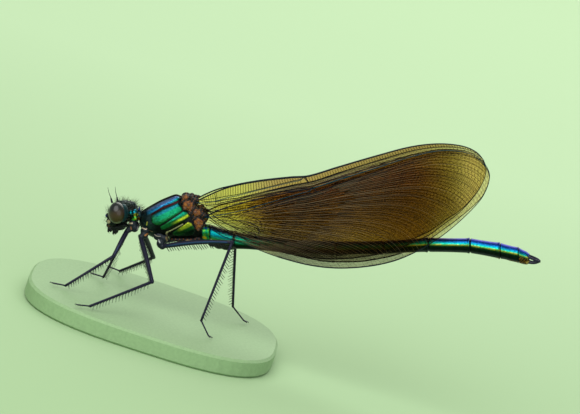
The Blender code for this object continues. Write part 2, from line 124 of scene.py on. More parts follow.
LEGS = {
    "front_left": ((-4.05, -0.35, -0.25), (-4.60, -1.00, -1.32), (-5.82, -3.40, -3.52),
                   (-8.39, -4.50, 0.30), (-9.89, -4.80)),
    "mid_left": ((-2.55, -0.65, -1.20), (-3.05, -1.45, -2.05), (-1.47, -6.00, -5.77),
                 (-5.07, -10.00, 0.30), (-6.41, -10.80)),
    "hind_left": ((-0.95, -0.85, -1.80), (-0.80, -1.45, -2.85), (6.97, -3.55, -1.90),
                  (6.66, -5.30, 1.45), (8.18, -6.00)),
    "front_right": ((-4.05, 0.35, -0.25), (-4.62, 1.00, -1.40), (-5.87, 3.40, -3.92),
                    (-5.05, 4.80, 0.30), (-6.43, 5.20)),
    "mid_right": ((-2.55, 0.65, -1.20), (-3.05, 1.45, -2.05), (-2.37, 6.00, -5.63),
                  (-3.69, 10.00, 0.30), (-5.11, 10.80)),
    "hind_right": ((-0.95, 0.85, -1.80), (-0.80, 1.45, -2.90), (6.85, 3.55, -2.30),
                   (9.38, 5.60, 1.45), (11.37, 6.00)),
}


def place_many(points):
    """Points of the insect's frame in millimetres, as an array of world metres."""
    points = np.asarray(points, dtype=float)
    cosine, sine = math.cos(BODY_PITCH), math.sin(BODY_PITCH)
    x = points[:, 0] * cosine - points[:, 2] * sine - ORIGIN_X
    z = points[:, 0] * sine + points[:, 2] * cosine + LIFT
    return np.stack((x, points[:, 1], z), axis=1) * MM


def place(point):
    return Vector(place_many([point])[0])


HEAD_TURN = Euler((HEAD_ROLL, 0.0, HEAD_YAW), "XYZ").to_matrix()


def from_head(point):
    """A point of the head's own frame in the insect's frame."""
    return HEAD_CENTRE + HEAD_TURN @ Vector(point)


def on_floor(x, y, height):
    """A point of the standing frame above the feet's level, in world metres."""
    return Vector((x - ORIGIN_X, y, FLOOR_OF_FEET + height)) * MM


def smooth_step(value):
    value = np.clip(value, 0.0, 1.0)
    return value * value * (3.0 - 2.0 * value)


def read_curve(points, share, ahead=None, beyond=None):
    """A smooth curve through the points, read at a share of its length.

    It leaves its ends as if it came from the point ahead and went on to the one beyond."""
    points = [Vector(p) for p in points]
    spans = [(b - a).length for a, b in zip(points, points[1:])]
    along = share * sum(spans)
    index = 0
    while index < len(spans) - 1 and along > spans[index]:
        along -= spans[index]
        index += 1
    t = min(along / spans[index], 1.0)
    start, end = points[index], points[index + 1]
    before = points[index - 1] if index else Vector(ahead or start)
    after = points[index + 2] if index + 2 < len(points) else Vector(beyond or end)
    lead_in = (end - before) * (spans[index] / max((end - before).length, 1e-6))
    lead_out = (after - start) * (spans[index] / max((after - start).length, 1e-6))
    return ((2 * t ** 3 - 3 * t ** 2 + 1) * start + (t ** 3 - 2 * t ** 2 + t) * lead_in
            + (3 * t ** 2 - 2 * t ** 3) * end + (t ** 3 - t ** 2) * lead_out)


def sample_curve(points, ahead=None, beyond=None, count=400):
    return np.array([read_curve(points, k / (count - 1), ahead, beyond) for k in range(count)])


def read_samples(samples, share):
    """Reads a sampled curve at an array of shares."""
    places = np.linspace(0.0, 1.0, len(samples))
    return np.stack([np.interp(share, places, samples[:, axis]) for axis in range(samples.shape[1])], -1)


def read_table(table, x):
    rows = np.array(table)
    return np.interp(x, rows[:, 0], rows[:, 1])


def make_mesh(name, verts, faces, materials, indices=None, colours=None, smooth=True, corners=True):
    """A mesh object from world points, with an optional colour at each point."""
    mesh = bpy.data.meshes.new(name)
    mesh.from_pydata([tuple(v) for v in verts], [], [tuple(f) for f in faces])
    for material in materials:
        mesh.materials.append(material)
    if indices is not None:
        mesh.polygons.foreach_set("material_index", np.asarray(indices, dtype=np.int32))
    if colours is not None:
        layer = mesh.color_attributes.new("tint", "FLOAT_COLOR", "POINT")
        filled = np.ones((len(verts), 4))
        filled[:, :colours.shape[1]] = colours
        layer.data.foreach_set("color", filled.ravel())
    mesh.update()
    if smooth:
        mesh.shade_smooth()
    made = bpy.data.objects.new(name, mesh)
    bpy.context.collection.objects.link(made)
    return made


def grid_faces(rows, columns, start=0, wrap=False):
    """Faces of a grid of points, row by row, joined round its rows if wrapped."""
    faces = []
    across = columns if wrap else columns - 1
    for i in range(rows - 1):
        for j in range(across):
            k = (j + 1) % columns
            faces.append((start + i * columns + j, start + i * columns + k,
                          start + (i + 1) * columns + k, start + (i + 1) * columns + j))
    return faces


def tube_arrays(path, radii, sides, start=0, side_way=(0.0, 1.0, 0.0)):
    """Points and faces of a closed round tube along a path, in the path's units."""
    path = np.asarray(path, dtype=float)
    radii = np.asarray(radii, dtype=float)
    tangents = np.gradient(path, axis=0)
    tangents /= np.linalg.norm(tangents, axis=1)[:, None] + 1e-12
    guide = np.array(side_way, dtype=float)
    verts = []
    for point, along, radius in zip(path, tangents, radii):
        across = guide - along * guide.dot(along)
        across /= np.linalg.norm(across) + 1e-12
        upward = np.cross(along, across)
        guide = across
        for k in range(sides):
            angle = 2 * math.pi * k / sides
            verts.append(point + (across * math.cos(angle) + upward * math.sin(angle)) * radius)
    faces = grid_faces(len(path), sides, start, wrap=True)
    last = start + (len(path) - 1) * sides
    faces.append(tuple(start + k for k in reversed(range(sides))))
    faces.append(tuple(last + k for k in range(sides)))
    return verts, faces


class Pile:
    """Gathers the points and faces of many small shapes into one mesh."""

    def __init__(self):
        self.verts = []
        self.faces = []
        self.indices = []

    def add(self, verts, faces, index=0):
        shift = len(self.verts)
        self.verts.extend(verts)
        self.faces.extend(tuple(v + shift for v in face) for face in faces)
        self.indices.extend([index] * len(faces))

    def tube(self, path, radii, sides=6, index=0):
        verts, faces = tube_arrays(path, radii, sides)
        self.add(verts, faces, index)

    def build(self, name, materials, smooth=True):
        return make_mesh(name, self.verts, self.faces, materials, self.indices, smooth=smooth)


def new_material(name):
    material = bpy.data.materials.new(name)
    material.use_nodes = True
    nodes = material.node_tree.nodes
    return material, nodes, material.node_tree.links, nodes["Principled BSDF"]


def set_values(shader, **values):
    for name, value in values.items():
        shader.inputs[name.replace("_", " ").title().replace("Ior", "IOR")].default_value = value


def add_noise(nodes, links, scale, detail=3.0, stretch=None):
    """A noise texture in the object's own millimetres."""
    coordinates = nodes.new("ShaderNodeTexCoord")
    mapping = nodes.new("ShaderNodeMapping")
    mapping.inputs["Scale"].default_value = stretch or (1000.0, 1000.0, 1000.0)
    noise = nodes.new("ShaderNodeTexNoise")
    noise.inputs["Scale"].default_value = scale
    noise.inputs["Detail"].default_value = detail
    links.new(coordinates.outputs["Object"], mapping.inputs["Vector"])
    links.new(mapping.outputs["Vector"], noise.inputs["Vector"])
    return noise, mapping


def add_bump(nodes, links, shader, height, strength, distance):
    bump = nodes.new("ShaderNodeBump")
    bump.inputs["Strength"].default_value = strength
    bump.inputs["Distance"].default_value = distance
    links.new(height, bump.inputs["Height"])
    links.new(bump.outputs["Normal"], shader.inputs["Normal"])
    return bump


def metal_skin(name, metallic, roughness, bump=0.35, scale=9.0, coat=0.3, patchy=0.45):
    """A cuticle whose colour is held by the mesh, mottled and finely pitted."""
    material, nodes, links, shader = new_material(name)
    tint = nodes.new("ShaderNodeAttribute")
    tint.attribute_name = "tint"
    noise, mapping = add_noise(nodes, links, scale)
    mottle = nodes.new("ShaderNodeMix")
    mottle.data_type = "RGBA"
    mottle.blend_type = "MULTIPLY"
    mottle.inputs["Factor"].default_value = patchy
    ramp = nodes.new("ShaderNodeValToRGB")
    ramp.color_ramp.elements[0].position = 0.35
    ramp.color_ramp.elements[0].color = (0.45, 0.5, 0.55, 1.0)
    ramp.color_ramp.elements[1].position = 0.62
    ramp.color_ramp.elements[1].color = (1.0, 1.0, 1.0, 1.0)
    links.new(noise.outputs["Fac"], ramp.inputs["Fac"])
    links.new(tint.outputs["Color"], mottle.inputs["A"])
    links.new(ramp.outputs["Color"], mottle.inputs["B"])
    links.new(mottle.outputs["Result"], shader.inputs["Base Color"])
    set_values(shader, metallic=metallic, roughness=roughness, coat_weight=coat, coat_roughness=0.12,
               specular_ior_level=0.2)
    pits, _ = add_noise(nodes, links, scale * 2.4, 2.0)
    add_bump(nodes, links, shader, pits.outputs["Fac"], bump, 0.00003)
    return material


def membrane_material():
    """A clear film that colours what is behind it: golden at the root and brown further out."""
    material, nodes, links, shader = new_material("wing_film")
    tint = nodes.new("ShaderNodeAttribute")
    tint.attribute_name = "tint"
    noise, _ = add_noise(nodes, links, 3.2, 2.0)
    mottle = nodes.new("ShaderNodeMix")
    mottle.data_type = "RGBA"
    mottle.blend_type = "MULTIPLY"
    mottle.inputs["Factor"].default_value = 1.0
    patches = nodes.new("ShaderNodeMapRange")
    patches.inputs["From Min"].default_value = 0.3
    patches.inputs["From Max"].default_value = 0.7
    patches.inputs["To Min"].default_value = 0.97
    links.new(noise.outputs["Fac"], patches.inputs["Value"])
    links.new(tint.outputs["Color"], mottle.inputs["A"])
    links.new(patches.outputs["Result"], mottle.inputs["B"])
    gloss = nodes.new("ShaderNodeMix")
    gloss.data_type = "RGBA"
    gloss.blend_type = "MULTIPLY"
    gloss.inputs["Factor"].default_value = 1.0
    gloss.inputs["B"].default_value = (0.05, 0.03, 0.015, 1.0)
    links.new(mottle.outputs["Result"], gloss.inputs["A"])
    links.new(gloss.outputs["Result"], shader.inputs["Base Color"])
    set_values(shader, roughness=0.36, specular_ior_level=0.2)
    ripple, _ = add_noise(nodes, links, 5.0, 1.0)
    add_bump(nodes, links, shader, ripple.outputs["Fac"], 0.4, 0.00004)
    clear = nodes.new("ShaderNodeBsdfTransparent")
    links.new(mottle.outputs["Result"], clear.inputs["Color"])
    blend = nodes.new("ShaderNodeMixShader")
    links.new(tint.outputs["Alpha"], blend.inputs["Fac"])
    links.new(clear.outputs["BSDF"], blend.inputs[1])
    links.new(shader.outputs["BSDF"], blend.inputs[2])
    links.new(blend.outputs["Shader"], nodes["Material Output"].inputs["Surface"])
    return material


def plain_material(name, colour, roughness, metallic=0.0, scale=12.0, bump=0.2, coat=0.0, spread=0.3,
                   gloss=0.3):
    """A mottled material of one colour with a finely uneven surface."""
    material, nodes, links, shader = new_material(name)
    noise, _ = add_noise(nodes, links, scale)
    ramp = nodes.new("ShaderNodeValToRGB")
    dark = tuple(c * (1.0 - spread) for c in colour)
    light = tuple(min(c * (1.0 + spread), 1.0) for c in colour)
    ramp.color_ramp.elements[0].position = 0.3
    ramp.color_ramp.elements[0].color = (*dark, 1.0)
    ramp.color_ramp.elements[1].position = 0.7
    ramp.color_ramp.elements[1].color = (*light, 1.0)
    links.new(noise.outputs["Fac"], ramp.inputs["Fac"])
    links.new(ramp.outputs["Color"], shader.inputs["Base Color"])
    set_values(shader, metallic=metallic, roughness=roughness, coat_weight=coat, coat_roughness=0.1,
               specular_ior_level=gloss)
    add_bump(nodes, links, shader, noise.outputs["Fac"], bump, 0.00002)
    return material


def abdomen_centre(x):
    return read_table(ABDOMEN_LINE, x)


def abdomen_radius(x):
    return read_table(ABDOMEN_RADIUS, x)


class Wing:
    """One wing's surface: s runs from root to margin, near from front to back."""

    def __init__(self, layer, sign):
        self.layer = layer
        self.sign = sign
        shape = layer["shape"]
        costa, margin, anal = shape["costa"], shape["margin"], shape["anal"]
        self.front = sample_curve(costa, beyond=margin[1])
        self.back = sample_curve(anal, beyond=margin[-2])
        self.margin = sample_curve(margin, costa[-2], anal[-2])

    def behind_edge(self, s, table):
        """A distance behind the leading edge as a share of the wing's width there."""
        far = np.array(table)
        wide = np.linalg.norm(self.flat(s, np.ones_like(s)) - self.flat(s, np.zeros_like(s)), axis=-1)
        return np.minimum(self.layer["lines"] * np.interp(s, far[:, 0], far[:, 1]) / np.maximum(wide, 1.0), 0.6)

    def subcosta(self, s):
        return self.behind_edge(s, SUBCOSTA_LINE)

    def radius(self, s):
        return self.behind_edge(s, RADIUS_LINE)

    def crowding(self, s):
        return 1.0 + VEIN_CROWD * (1.0 - s) * smooth_step(s / 0.12)

    def sweep(self, s, t):
        """A lengthwise vein's place across the wing: close behind the radius, then sweeping back."""
        first = self.radius(s)
        return first + (1.0 - first) * t ** self.crowding(s)

    def vein_at(self, s, near):
        """Which lengthwise vein passes a point, the other way round from sweep."""
        first = self.radius(s)
        return np.clip((near - first) / (1.0 - first), 0.0, 1.0) ** (1.0 / self.crowding(s))

    def flat(self, s, near):
        """Points (x, z) of the wing."""
        s, near = np.broadcast_arrays(np.asarray(s, float), np.asarray(near, float))
        front, back = read_samples(self.front, s), read_samples(self.back, s)
        margin = read_samples(self.margin, near)
        near, s = near[..., None], s[..., None]
        root = self.front[0] * (1 - near) + self.back[0] * near
        tip = self.margin[0] * (1 - near) + self.margin[-1] * near
        return front * (1 - near) + back * near + root * (1 - s) + margin * s - root * (1 - s) - tip * s

    def offset(self, x, z):
        layer = self.layer
        beside = layer["beside"] + abdomen_radius(x)
        above_back = z - abdomen_centre(x) - abdomen_radius(x)
        lower = smooth_step((5.2 - above_back) / 4.6)
        above = layer["above"] * (1.0 - 0.45 * smooth_step((x - 12.0) / 18.0))
        offset = above + (beside - above) * lower
        return offset + (layer["root"] - offset) * smooth_step((6.8 - x) / 3.0)

    def points(self, s, near, lift=0.0):
        """Points of the insect's frame, lifted outwards by lift."""
        flat = self.flat(s, near).reshape(-1, 2)
        x, z = flat[:, 0], flat[:, 1]
        # Shallow pleats follow the veins, as on a real wing.
        pleat = 0.04 * np.sin(np.asarray(near, float).ravel() * 44.0) * smooth_step(
            np.asarray(s, float).ravel() * 3.0) if np.size(near) == len(x) else 0.0
        return self.on_face(x, z, lift + pleat)

    def on_face(self, x, z, lift):
        """Points of the insect's frame for places (x, z) of the outline."""
        out = self.offset(x, z) + lift
        # The outlines were measured for wings that stand wider apart, seen from above.
        lower = (self.layer["seen"] - 0.6 * out) * math.tan(CAMERA_RISE)
        return np.stack((x, self.sign * out, z - lower), axis=1)


WING_ROWS, WING_COLUMNS = 90, 110
FILM_HALF = 0.008

# What the membrane lets through: at the root, behind the radius, across the middle, in the lower part,
# at the tip and in the rear corner, and a darker painted shade where the abdomen lies behind the wing.
FILM_GOLD = (1.00, 0.88, 0.48)
FILM_DARK = (0.765, 0.505, 0.34)
FILM_BROWN = (0.83, 0.63, 0.38)
FILM_PALE = (0.92, 0.77, 0.50)
FILM_AMBER = (1.00, 0.88, 0.66)
FILM_OLIVE = (0.935, 0.91, 0.74)
FILM_ABDOMEN_SHADE = (0.50, 0.46, 0.39)
FILM_GLOSS = 0.005
BAND_COUNT = 46


def film_colours(wing, s, near, points):
    """What the film lets through at each of its two faces, with its gloss as the fourth value."""
    x = points[:, 0]
    z = points[:, 2]
    across = wing.vein_at(s, near)
    root = smooth_step((13.2 - x - 0.6 * np.maximum(0.0, 1.6 - z)) / 6.2)
    first = np.maximum(wing.radius(s), 0.01)
    lead = smooth_step((1.10 - near / first) / 0.2) * smooth_step((0.96 - s) / 0.2)
    inner = lead * smooth_step((near / first - 0.35) / 0.2) * smooth_step((s - 0.22) / 0.12)
    dark = smooth_step((0.40 - across) / 0.35)
    pale = smooth_step((across - 0.40) / 0.35)
    tip = smooth_step((x - 25.0) / 7.0) * (1.0 - 0.45 * smooth_step((across - 0.12) / 0.35))
    tip = np.maximum(tip, 0.9 * smooth_step((s - 0.84) / 0.16) * smooth_step((x - 26.0) / 4.0))
    # Painted shade: the film is darker where the abdomen lies behind it.
    rear = smooth_step((abdomen_centre(x) - z + 0.1) / 0.7) * smooth_step((x - 9.5) / 3.0)
    rear *= smooth_step((30.0 - x) / 5.0)
    anal = smooth_step((11.4 - x) / 2.2) * smooth_step((near - 0.56) / 0.20)
    passed = np.tile(FILM_BROWN, (len(x), 1)).astype(float)
    band = wing.layer["band"] * smooth_step((0.17 - across) / 0.10)
    for weight, tone in ((dark, FILM_DARK), (band, FILM_AMBER), (pale, FILM_PALE), (rear, FILM_ABDOMEN_SHADE),
                         (tip, FILM_AMBER),
                         (root, FILM_GOLD), (lead * (1.0 - root), wing.layer["strip"]),
                         (inner * 0.6, FILM_BROWN), (anal, FILM_OLIVE)):
        passed = mix_colour(passed, weight, tone)
    outer = smooth_step((x - 15.0) / 9.0) * (1.0 - smooth_step((x - 30.0) / 3.5)) * (1.0 - rear)
    passed = passed * (1.0 - outer[:, None] * np.array((0.13, 0.11, 0.12)))
    upper = smooth_step((x - 18.0) / 5.0) * (1.0 - smooth_step((x - 29.5) / 3.0))
    upper = upper * (1.0 - smooth_step((across - 0.35) / 0.25)) * (1.0 - lead)
    passed = passed * (1.0 - upper[:, None] * np.array((0.08, 0.10, 0.20)))
    middle = smooth_step((x - 7.5) / 3.5) * (1.0 - smooth_step((x - 14.0) / 8.0)) * (1.0 - lead)
    passed = passed * (1.0 - middle[:, None] * np.array((0.19, 0.20, 0.16)))
    draw = random.Random(5)
    table = np.array([draw.uniform(-1.0, 1.0) for _ in range(BAND_COUNT)])
    streak = np.interp(across * (BAND_COUNT - 1), np.arange(BAND_COUNT), table)
    passed = passed * (1.0 + 0.07 * streak * (1.0 - root) * (1.0 - 0.7 * tip))[:, None]
    return np.column_stack((np.clip(passed, 0.0, 1.0) ** 0.5, np.full(len(x), FILM_GLOSS)))


def build_film(name, wing, material):
    """The membrane: two faces a hair apart, closed round the margin."""
    s, t = np.meshgrid(np.linspace(0.0, 1.0, WING_ROWS), np.linspace(0.0, 1.0, WING_COLUMNS),
                       indexing="ij")
    s, t = s.ravel(), t.ravel()
    near = t ** 1.3
    outer = wing.points(s, near, FILM_HALF)
    inner = wing.points(s, near, -FILM_HALF)
    colours = film_colours(wing, s, near, outer)
    count = len(outer)
    faces = grid_faces(WING_ROWS, WING_COLUMNS)
    back = [tuple(v + count for v in reversed(face)) for face in faces]
    rows, columns = WING_ROWS, WING_COLUMNS
    rim = [j for j in range(columns)] + [i * columns + columns - 1 for i in range(1, rows)]
    rim += [(rows - 1) * columns + j for j in range(columns - 2, -1, -1)]
    rim += [i * columns for i in range(rows - 2, 0, -1)]
    side = [(b, a, a + count, b + count) for a, b in zip(rim, rim[1:] + rim[:1])]
    every = faces + back + side
    if wing.sign > 0:
        every = [tuple(reversed(face)) for face in every]
    verts = place_many(np.concatenate((outer, inner)))
    return make_mesh(name, verts, every, [material], colours=np.concatenate((colours, colours)))


LINE_COUNT = 64
LEVEL_STARTS = {5: 0.0, 4: 0.02, 3: 0.07, 2: 0.17, 1: 0.34, 0: 0.54}
LEVEL_RADII = {5: 0.044, 4: 0.040, 3: 0.036, 2: 0.032, 1: 0.028, 0: 0.024}
# Long veins of these levels take a paler material, a painted highlight where light catches the pleats.
LIT_VEIN_LEVELS = (0, 2)
REAR_LINES = 0.58
CROSS_RADIUS = 0.015
CROSS_GAP = 0.23
NODUS = 0.378


def line_level(k):
    """How early a lengthwise line leaves the root, from how often k halves."""
    level = 0
    while level < 5 and k % 2 == 0:
        k //= 2
        level += 1
    return level


def vein_path(wing, s, near):
    return place_many(wing.points(s, near, 0.0))


def build_rungs(pile, wing, upper, lower, start, end, gap, radius, index):
    """Short straight bars between two long veins, each given as near at s."""
    s = np.arange(start, end, gap)
    first = vein_path(wing, s, upper(s))
    second = vein_path(wing, s + 0.002, lower(s + 0.002))
    for a, b in zip(first, second):
        pile.tube((a, b), (radius * MM, radius * MM), 4, index)


def build_veins(name, wing, materials, seed):
    """Dark tubes: the leading edge, the fan of long veins, the rim and the cross veins."""
    draw = random.Random(seed)
    pile = Pile()
    inner = np.linspace(0.0, NODUS, 36)
    outer = np.linspace(NODUS, 1.0, 60)
    pile.tube(vein_path(wing, inner, np.zeros(36)), np.linspace(0.082, 0.064, 36) * MM, 6, 2)
    pile.tube(vein_path(wing, outer, np.zeros(60)), np.linspace(0.066, 0.032, 60) * MM, 6, wing.layer["edge"])
    pile.tube(vein_path(wing, inner, wing.subcosta(inner)), np.full(36, 0.038) * MM, 5, 1)
    pile.tube(vein_path(wing, inner, wing.radius(inner)), np.linspace(0.044, 0.048, 36) * MM, 5, 2)
    outer = outer[:-1]
    pile.tube(vein_path(wing, outer, wing.radius(outer)), np.linspace(0.050, 0.016, 59) * MM, 5, 2)
    sector = np.linspace(0.26, 0.98, 70)
    pile.tube(vein_path(wing, sector, wing.behind_edge(sector, SECTOR_LINE)),
              np.linspace(0.040, 0.016, 70) * MM, 5, 2)
    along = np.linspace(0.0, 1.0, 8)
    for spot, lean, wide in ((NODUS, 0.012, 0.045), (0.075, 0.010, 0.024)):
        mark = spot + lean * along
        pile.tube(vein_path(wing, mark, along * wing.radius(mark)), np.full(8, wide) * MM, 5, 2)
    for line in wing.layer["corner"]:
        flat = sample_curve(line, count=40)
        path = place_many(wing.on_face(flat[:, 0], flat[:, 1], 0.02))
        pile.tube(path, np.linspace(0.030, 0.044, 40) * MM, 5, 2)
    pile.tube(vein_path(wing, np.linspace(0.0, 1.0, 80), np.ones(80)), np.full(80, 0.044) * MM, 4, 2)
    around = np.linspace(0.0, 1.0, 150)
    wide = np.interp(around, (0.0, 0.35, 0.55), (0.036, 0.044, 0.074))
    pile.tube(vein_path(wing, np.ones_like(around), around), wide * MM, 5, 2)

    def edge(places):
        return np.zeros_like(places)

    build_rungs(pile, wing, edge, wing.subcosta, 0.03, NODUS - 0.01, 0.0086, 0.015, 3)
    build_rungs(pile, wing, wing.subcosta, wing.radius, 0.04, NODUS - 0.01, 0.0090, 0.012, 3)
    build_rungs(pile, wing, edge, wing.radius, NODUS + 0.008, 0.97, 0.0090, 0.014, 3)
    lines = []
    for k in range(1, LINE_COUNT):
        level = line_level(k)
        t = (k + draw.uniform(-0.14, 0.14)) / LINE_COUNT
        start = LEVEL_STARTS[level] + draw.uniform(-0.03, 0.03) * (level < 5)
        # Behind the radius the veins run side by side from further in.
        start = max(start * (0.80 + 0.20 * min(t / 0.25, 1.0)), 0.0)
        lines.append((t, start))
        steps = np.linspace(start, 1.0, max(int(60 * (1.0 - start)), 8))
        near = wing.sweep(steps, np.full_like(steps, t))
        swell = 0.40 + 0.72 * smooth_step((steps - 0.08) / 0.3) - 0.64 * smooth_step((steps - 0.45) / 0.5)
        if t > REAR_LINES:
            swell = swell * (0.40 + 0.46 * smooth_step((steps - 0.15) / 0.30))
        thickness = LEVEL_RADII[level] * swell * MM
        pile.tube(vein_path(wing, steps, near), thickness, 3, 4 if level in LIT_VEIN_LEVELS else 0)
    build_cross_veins(pile, wing, lines, draw)
    return pile.build(name, materials)


def build_cross_veins(pile, wing, lines, draw):
    """Short bars between neighbouring lengthwise veins, all about the same distance apart."""
    places = np.linspace(0.02, 0.995, 160)
    shares = np.array([0.0] + [t for t, _ in lines] + [1.0])
    starts = np.array([0.0] + [start for _, start in lines] + [0.0])
    s, t = np.meshgrid(places, shares, indexing="ij")
    grid = place_many(wing.points(s.ravel(), wing.sweep(s.ravel(), t.ravel()))).reshape(
        len(places), len(shares), 3)
    gone = np.zeros(len(shares))
    for row in range(1, len(places)):
        gone += np.linalg.norm(grid[row] - grid[row - 1], axis=1) / MM
        active = np.nonzero(starts < places[row] - 0.005)[0]
        thin = CROSS_RADIUS * MM * (0.48 + 0.14 * smooth_step((places[row] - 0.15) / 0.2))
        for a, b in zip(active, active[1:]):
            apart = np.linalg.norm(grid[row, b] - grid[row, a]) / MM
            if apart > 0.09 and gone[a] + draw.uniform(-0.02, 0.02) > max(CROSS_GAP, 0.75 * apart):
                gone[a] = 0.0
                pile.tube((grid[row, a], grid[row, b]), (thin, thin), 3, 3)


def build_wings():
    film = membrane_material()
    veins = plain_material("vein_brown", (0.058, 0.041, 0.025), 0.45, 0.0, 30.0, gloss=0.15)
    cross = plain_material("vein_dark", (0.016, 0.010, 0.005), 0.45, 0.0, 30.0, gloss=0.10)
    lead = plain_material("vein_blue", (0.0, 0.040, 0.066), 0.32, 0.75, 20.0, gloss=0.15)
    rim = plain_material("vein_rim", (0.003, 0.006, 0.012), 0.40, 0.0, 30.0, gloss=0.08)
    # The paler veins are a painted highlight along the pleats.
    pale = plain_material("vein_painted_highlight", (0.130, 0.092, 0.055), 0.45, 0.0, 30.0, gloss=0.15)
    for number, (kind, layer) in enumerate(WING_LAYERS.items()):
        for side, sign in (("left", -1), ("right", 1)):
            wing = Wing(layer, sign)
            node = f"{kind}_{side}"
            sheet = build_film(f"{node}_film", wing, film)
            net = build_veins(f"{node}_veins", wing, [veins, lead, rim, cross, pale], 11 + number)
            for piece in (sheet, net):
                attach(piece, "root")
                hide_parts(node)


def blend_lumps(lumps, voxel, smoothing=6):
    """One smooth closed surface round overlapping ellipsoids, as points and faces in
    the lumps' own millimetres. A lump is a centre and three half sizes."""
    data = bmesh.new()
    for centre, size in lumps:
        made = bmesh.ops.create_uvsphere(data, u_segments=32, v_segments=20, radius=1.0)
        for vert in made["verts"]:
            vert.co = Vector(centre) + Vector(c * s for c, s in zip(vert.co, size))
    mesh = bpy.data.meshes.new("lumps")
    data.to_mesh(mesh)
    data.free()
    rough = bpy.data.objects.new("lumps", mesh)
    bpy.context.collection.objects.link(rough)
    remesh = rough.modifiers.new("remesh", "REMESH")
    remesh.mode = "VOXEL"
    remesh.voxel_size = voxel
    soften = rough.modifiers.new("soften", "SMOOTH")
    soften.factor = 0.6
    soften.iterations = smoothing
    result = bpy.data.meshes.new_from_object(rough.evaluated_get(bpy.context.evaluated_depsgraph_get()))
    verts = np.empty(len(result.vertices) * 3)
    result.vertices.foreach_get("co", verts)
    faces = [tuple(p.vertices) for p in result.polygons]
    bpy.data.objects.remove(rough, do_unlink=True)
    bpy.data.meshes.remove(result)
    return verts.reshape(-1, 3), faces


def mirror_lumps(lumps):
    """The lumps, with those that stand to one side repeated on the other."""
    both = []
    for centre, size in lumps:
        both.append((centre, size))
        if centre[1]:
            both.append(((centre[0], -centre[1], centre[2]), size))
    return both


def lump_depth(points, centre, size):
    """1 at a lump's centre and 0 at its surface, for colour."""
    away = (points - np.array(centre)) / np.array(size)
    return 1.0 - np.linalg.norm(away, axis=1)


def mix_colour(colours, weight, colour):
    """Moves the colours towards one colour by a weight for each point."""
    weight = np.clip(weight, 0.0, 1.0)[:, None]
    return colours * (1 - weight) + np.array(colour) * weight


def from_head_many(points):
    turn = np.array(HEAD_TURN)
    return points @ turn.T + np.array(HEAD_CENTRE)


HEAD_LUMPS = mirror_lumps((
    ((-0.05, 0.0, 0.10), (0.72, 2.05, 0.92)),
    ((-0.42, 0.0, 0.46), (0.82, 1.15, 0.70)),
    ((-0.50, 0.0, 1.02), (0.40, 0.46, 0.24)),
    ((0.10, 0.42, 1.02), (0.44, 0.40, 0.30)),
    ((0.72, 0.72, 0.86), (0.38, 0.36, 0.32)),
    ((-1.18, 0.0, 0.10), (0.52, 0.95, 0.40)),
    ((-1.56, 0.0, -0.46), (0.42, 0.80, 0.32)),
    ((-1.42, 0.0, -1.02), (0.44, 0.72, 0.34)),
    ((-0.92, 0.80, -1.02), (0.58, 0.42, 0.52)),
    ((-0.30, 0.0, -0.95), (0.80, 1.00, 0.42)),
    ((0.45, 0.0, 0.20), (0.40, 1.25, 0.66)),
    ((0.52, 1.55, 0.02), (0.58, 0.80, 1.00)),
))
MOUTH_LUMPS = mirror_lumps((
    ((-0.62, 0.0, -1.66), (0.86, 0.64, 0.36)),
    ((0.10, 0.0, -1.40), (0.56, 0.66, 0.28)),
    ((-1.48, 0.24, -1.48), (0.32, 0.28, 0.26)),
    ((-1.36, 0.34, -1.88), (0.26, 0.17, 0.26)),
    ((-1.50, 0.36, -2.08), (0.13, 0.11, 0.20)),
    ((-0.82, 0.36, -2.02), (0.22, 0.16, 0.34)),
    ((-0.92, 0.36, -2.30), (0.12, 0.11, 0.20)),
    ((-0.25, 0.40, -1.72), (0.40, 0.16, 0.24)),
))


def colour_head(points):
    """Nearly black green, with a violet face, cream mandible bases and a green crown."""
    colours = np.tile((0.005, 0.010, 0.010), (len(points), 1)).astype(float)
    x, y, z = points.T
    crown = smooth_step((z - 0.25) / 0.6)
    colours = mix_colour(colours, 0.8 * crown, (0.012, 0.026, 0.024))
    # Painted sheen: a lighter grey on the knob at the back of the crown.
    knob = smooth_step(lump_depth(points, (0.45, 0.0, 1.15), (0.75, 1.1, 0.34)) * 4.0)
    colours = mix_colour(colours, 0.8 * knob, (0.055, 0.070, 0.072))
    behind = smooth_step((x - 0.35) / 0.25) * smooth_step((np.abs(y) - 1.1) / 0.4)
    colours = mix_colour(colours, 0.55 * behind, (0.008, 0.06, 0.075))
    shine = smooth_step(lump_depth(points, (-1.78, 0.0, -0.48), (0.50, 0.85, 0.26)) * 6.0)
    colours = mix_colour(colours, shine, (0.03, 0.035, 0.26))
    lower = smooth_step(lump_depth(points, (-1.70, 0.0, -1.12), (0.5, 0.52, 0.30)) * 6.0)
    colours = mix_colour(colours, lower, (0.008, 0.02, 0.04))
    for sign in (-1, 1):
        cream = smooth_step(lump_depth(points, (-1.27, sign * 1.05, -1.06), (0.34, 0.35, 0.22)) * 5.0)
        colours = mix_colour(colours, 0.9 * cream, (0.50, 0.40, 0.27))
        cheek = smooth_step(lump_depth(points, (0.05, sign * 1.35, -1.02), (0.26, 0.40, 0.22)) * 5.0)
        colours = mix_colour(colours, 0.8 * cheek, (0.30, 0.27, 0.24))
    return colours


def build_head(skins):
    verts, faces = blend_lumps(HEAD_LUMPS, 0.045, 8)
    colours = colour_head(verts)
    head = make_mesh("head_skin", place_many(from_head_many(verts)), faces, [skins["head"]], colours=colours)
    verts, faces = blend_lumps(MOUTH_LUMPS, 0.045, 3)
    dark = np.tile((0.010, 0.012, 0.014), (len(verts), 1)).astype(float)
    teeth = smooth_step(lump_depth(verts, (-1.45, -0.3, -1.55), (0.2, 0.3, 0.2)) * 4.0)
    dark = mix_colour(dark, 0.4 * teeth, (0.20, 0.10, 0.05))
    mouth = make_mesh("mouth_skin", place_many(from_head_many(verts)), faces, [skins["head"]], colours=dark)
    return [head, mouth]


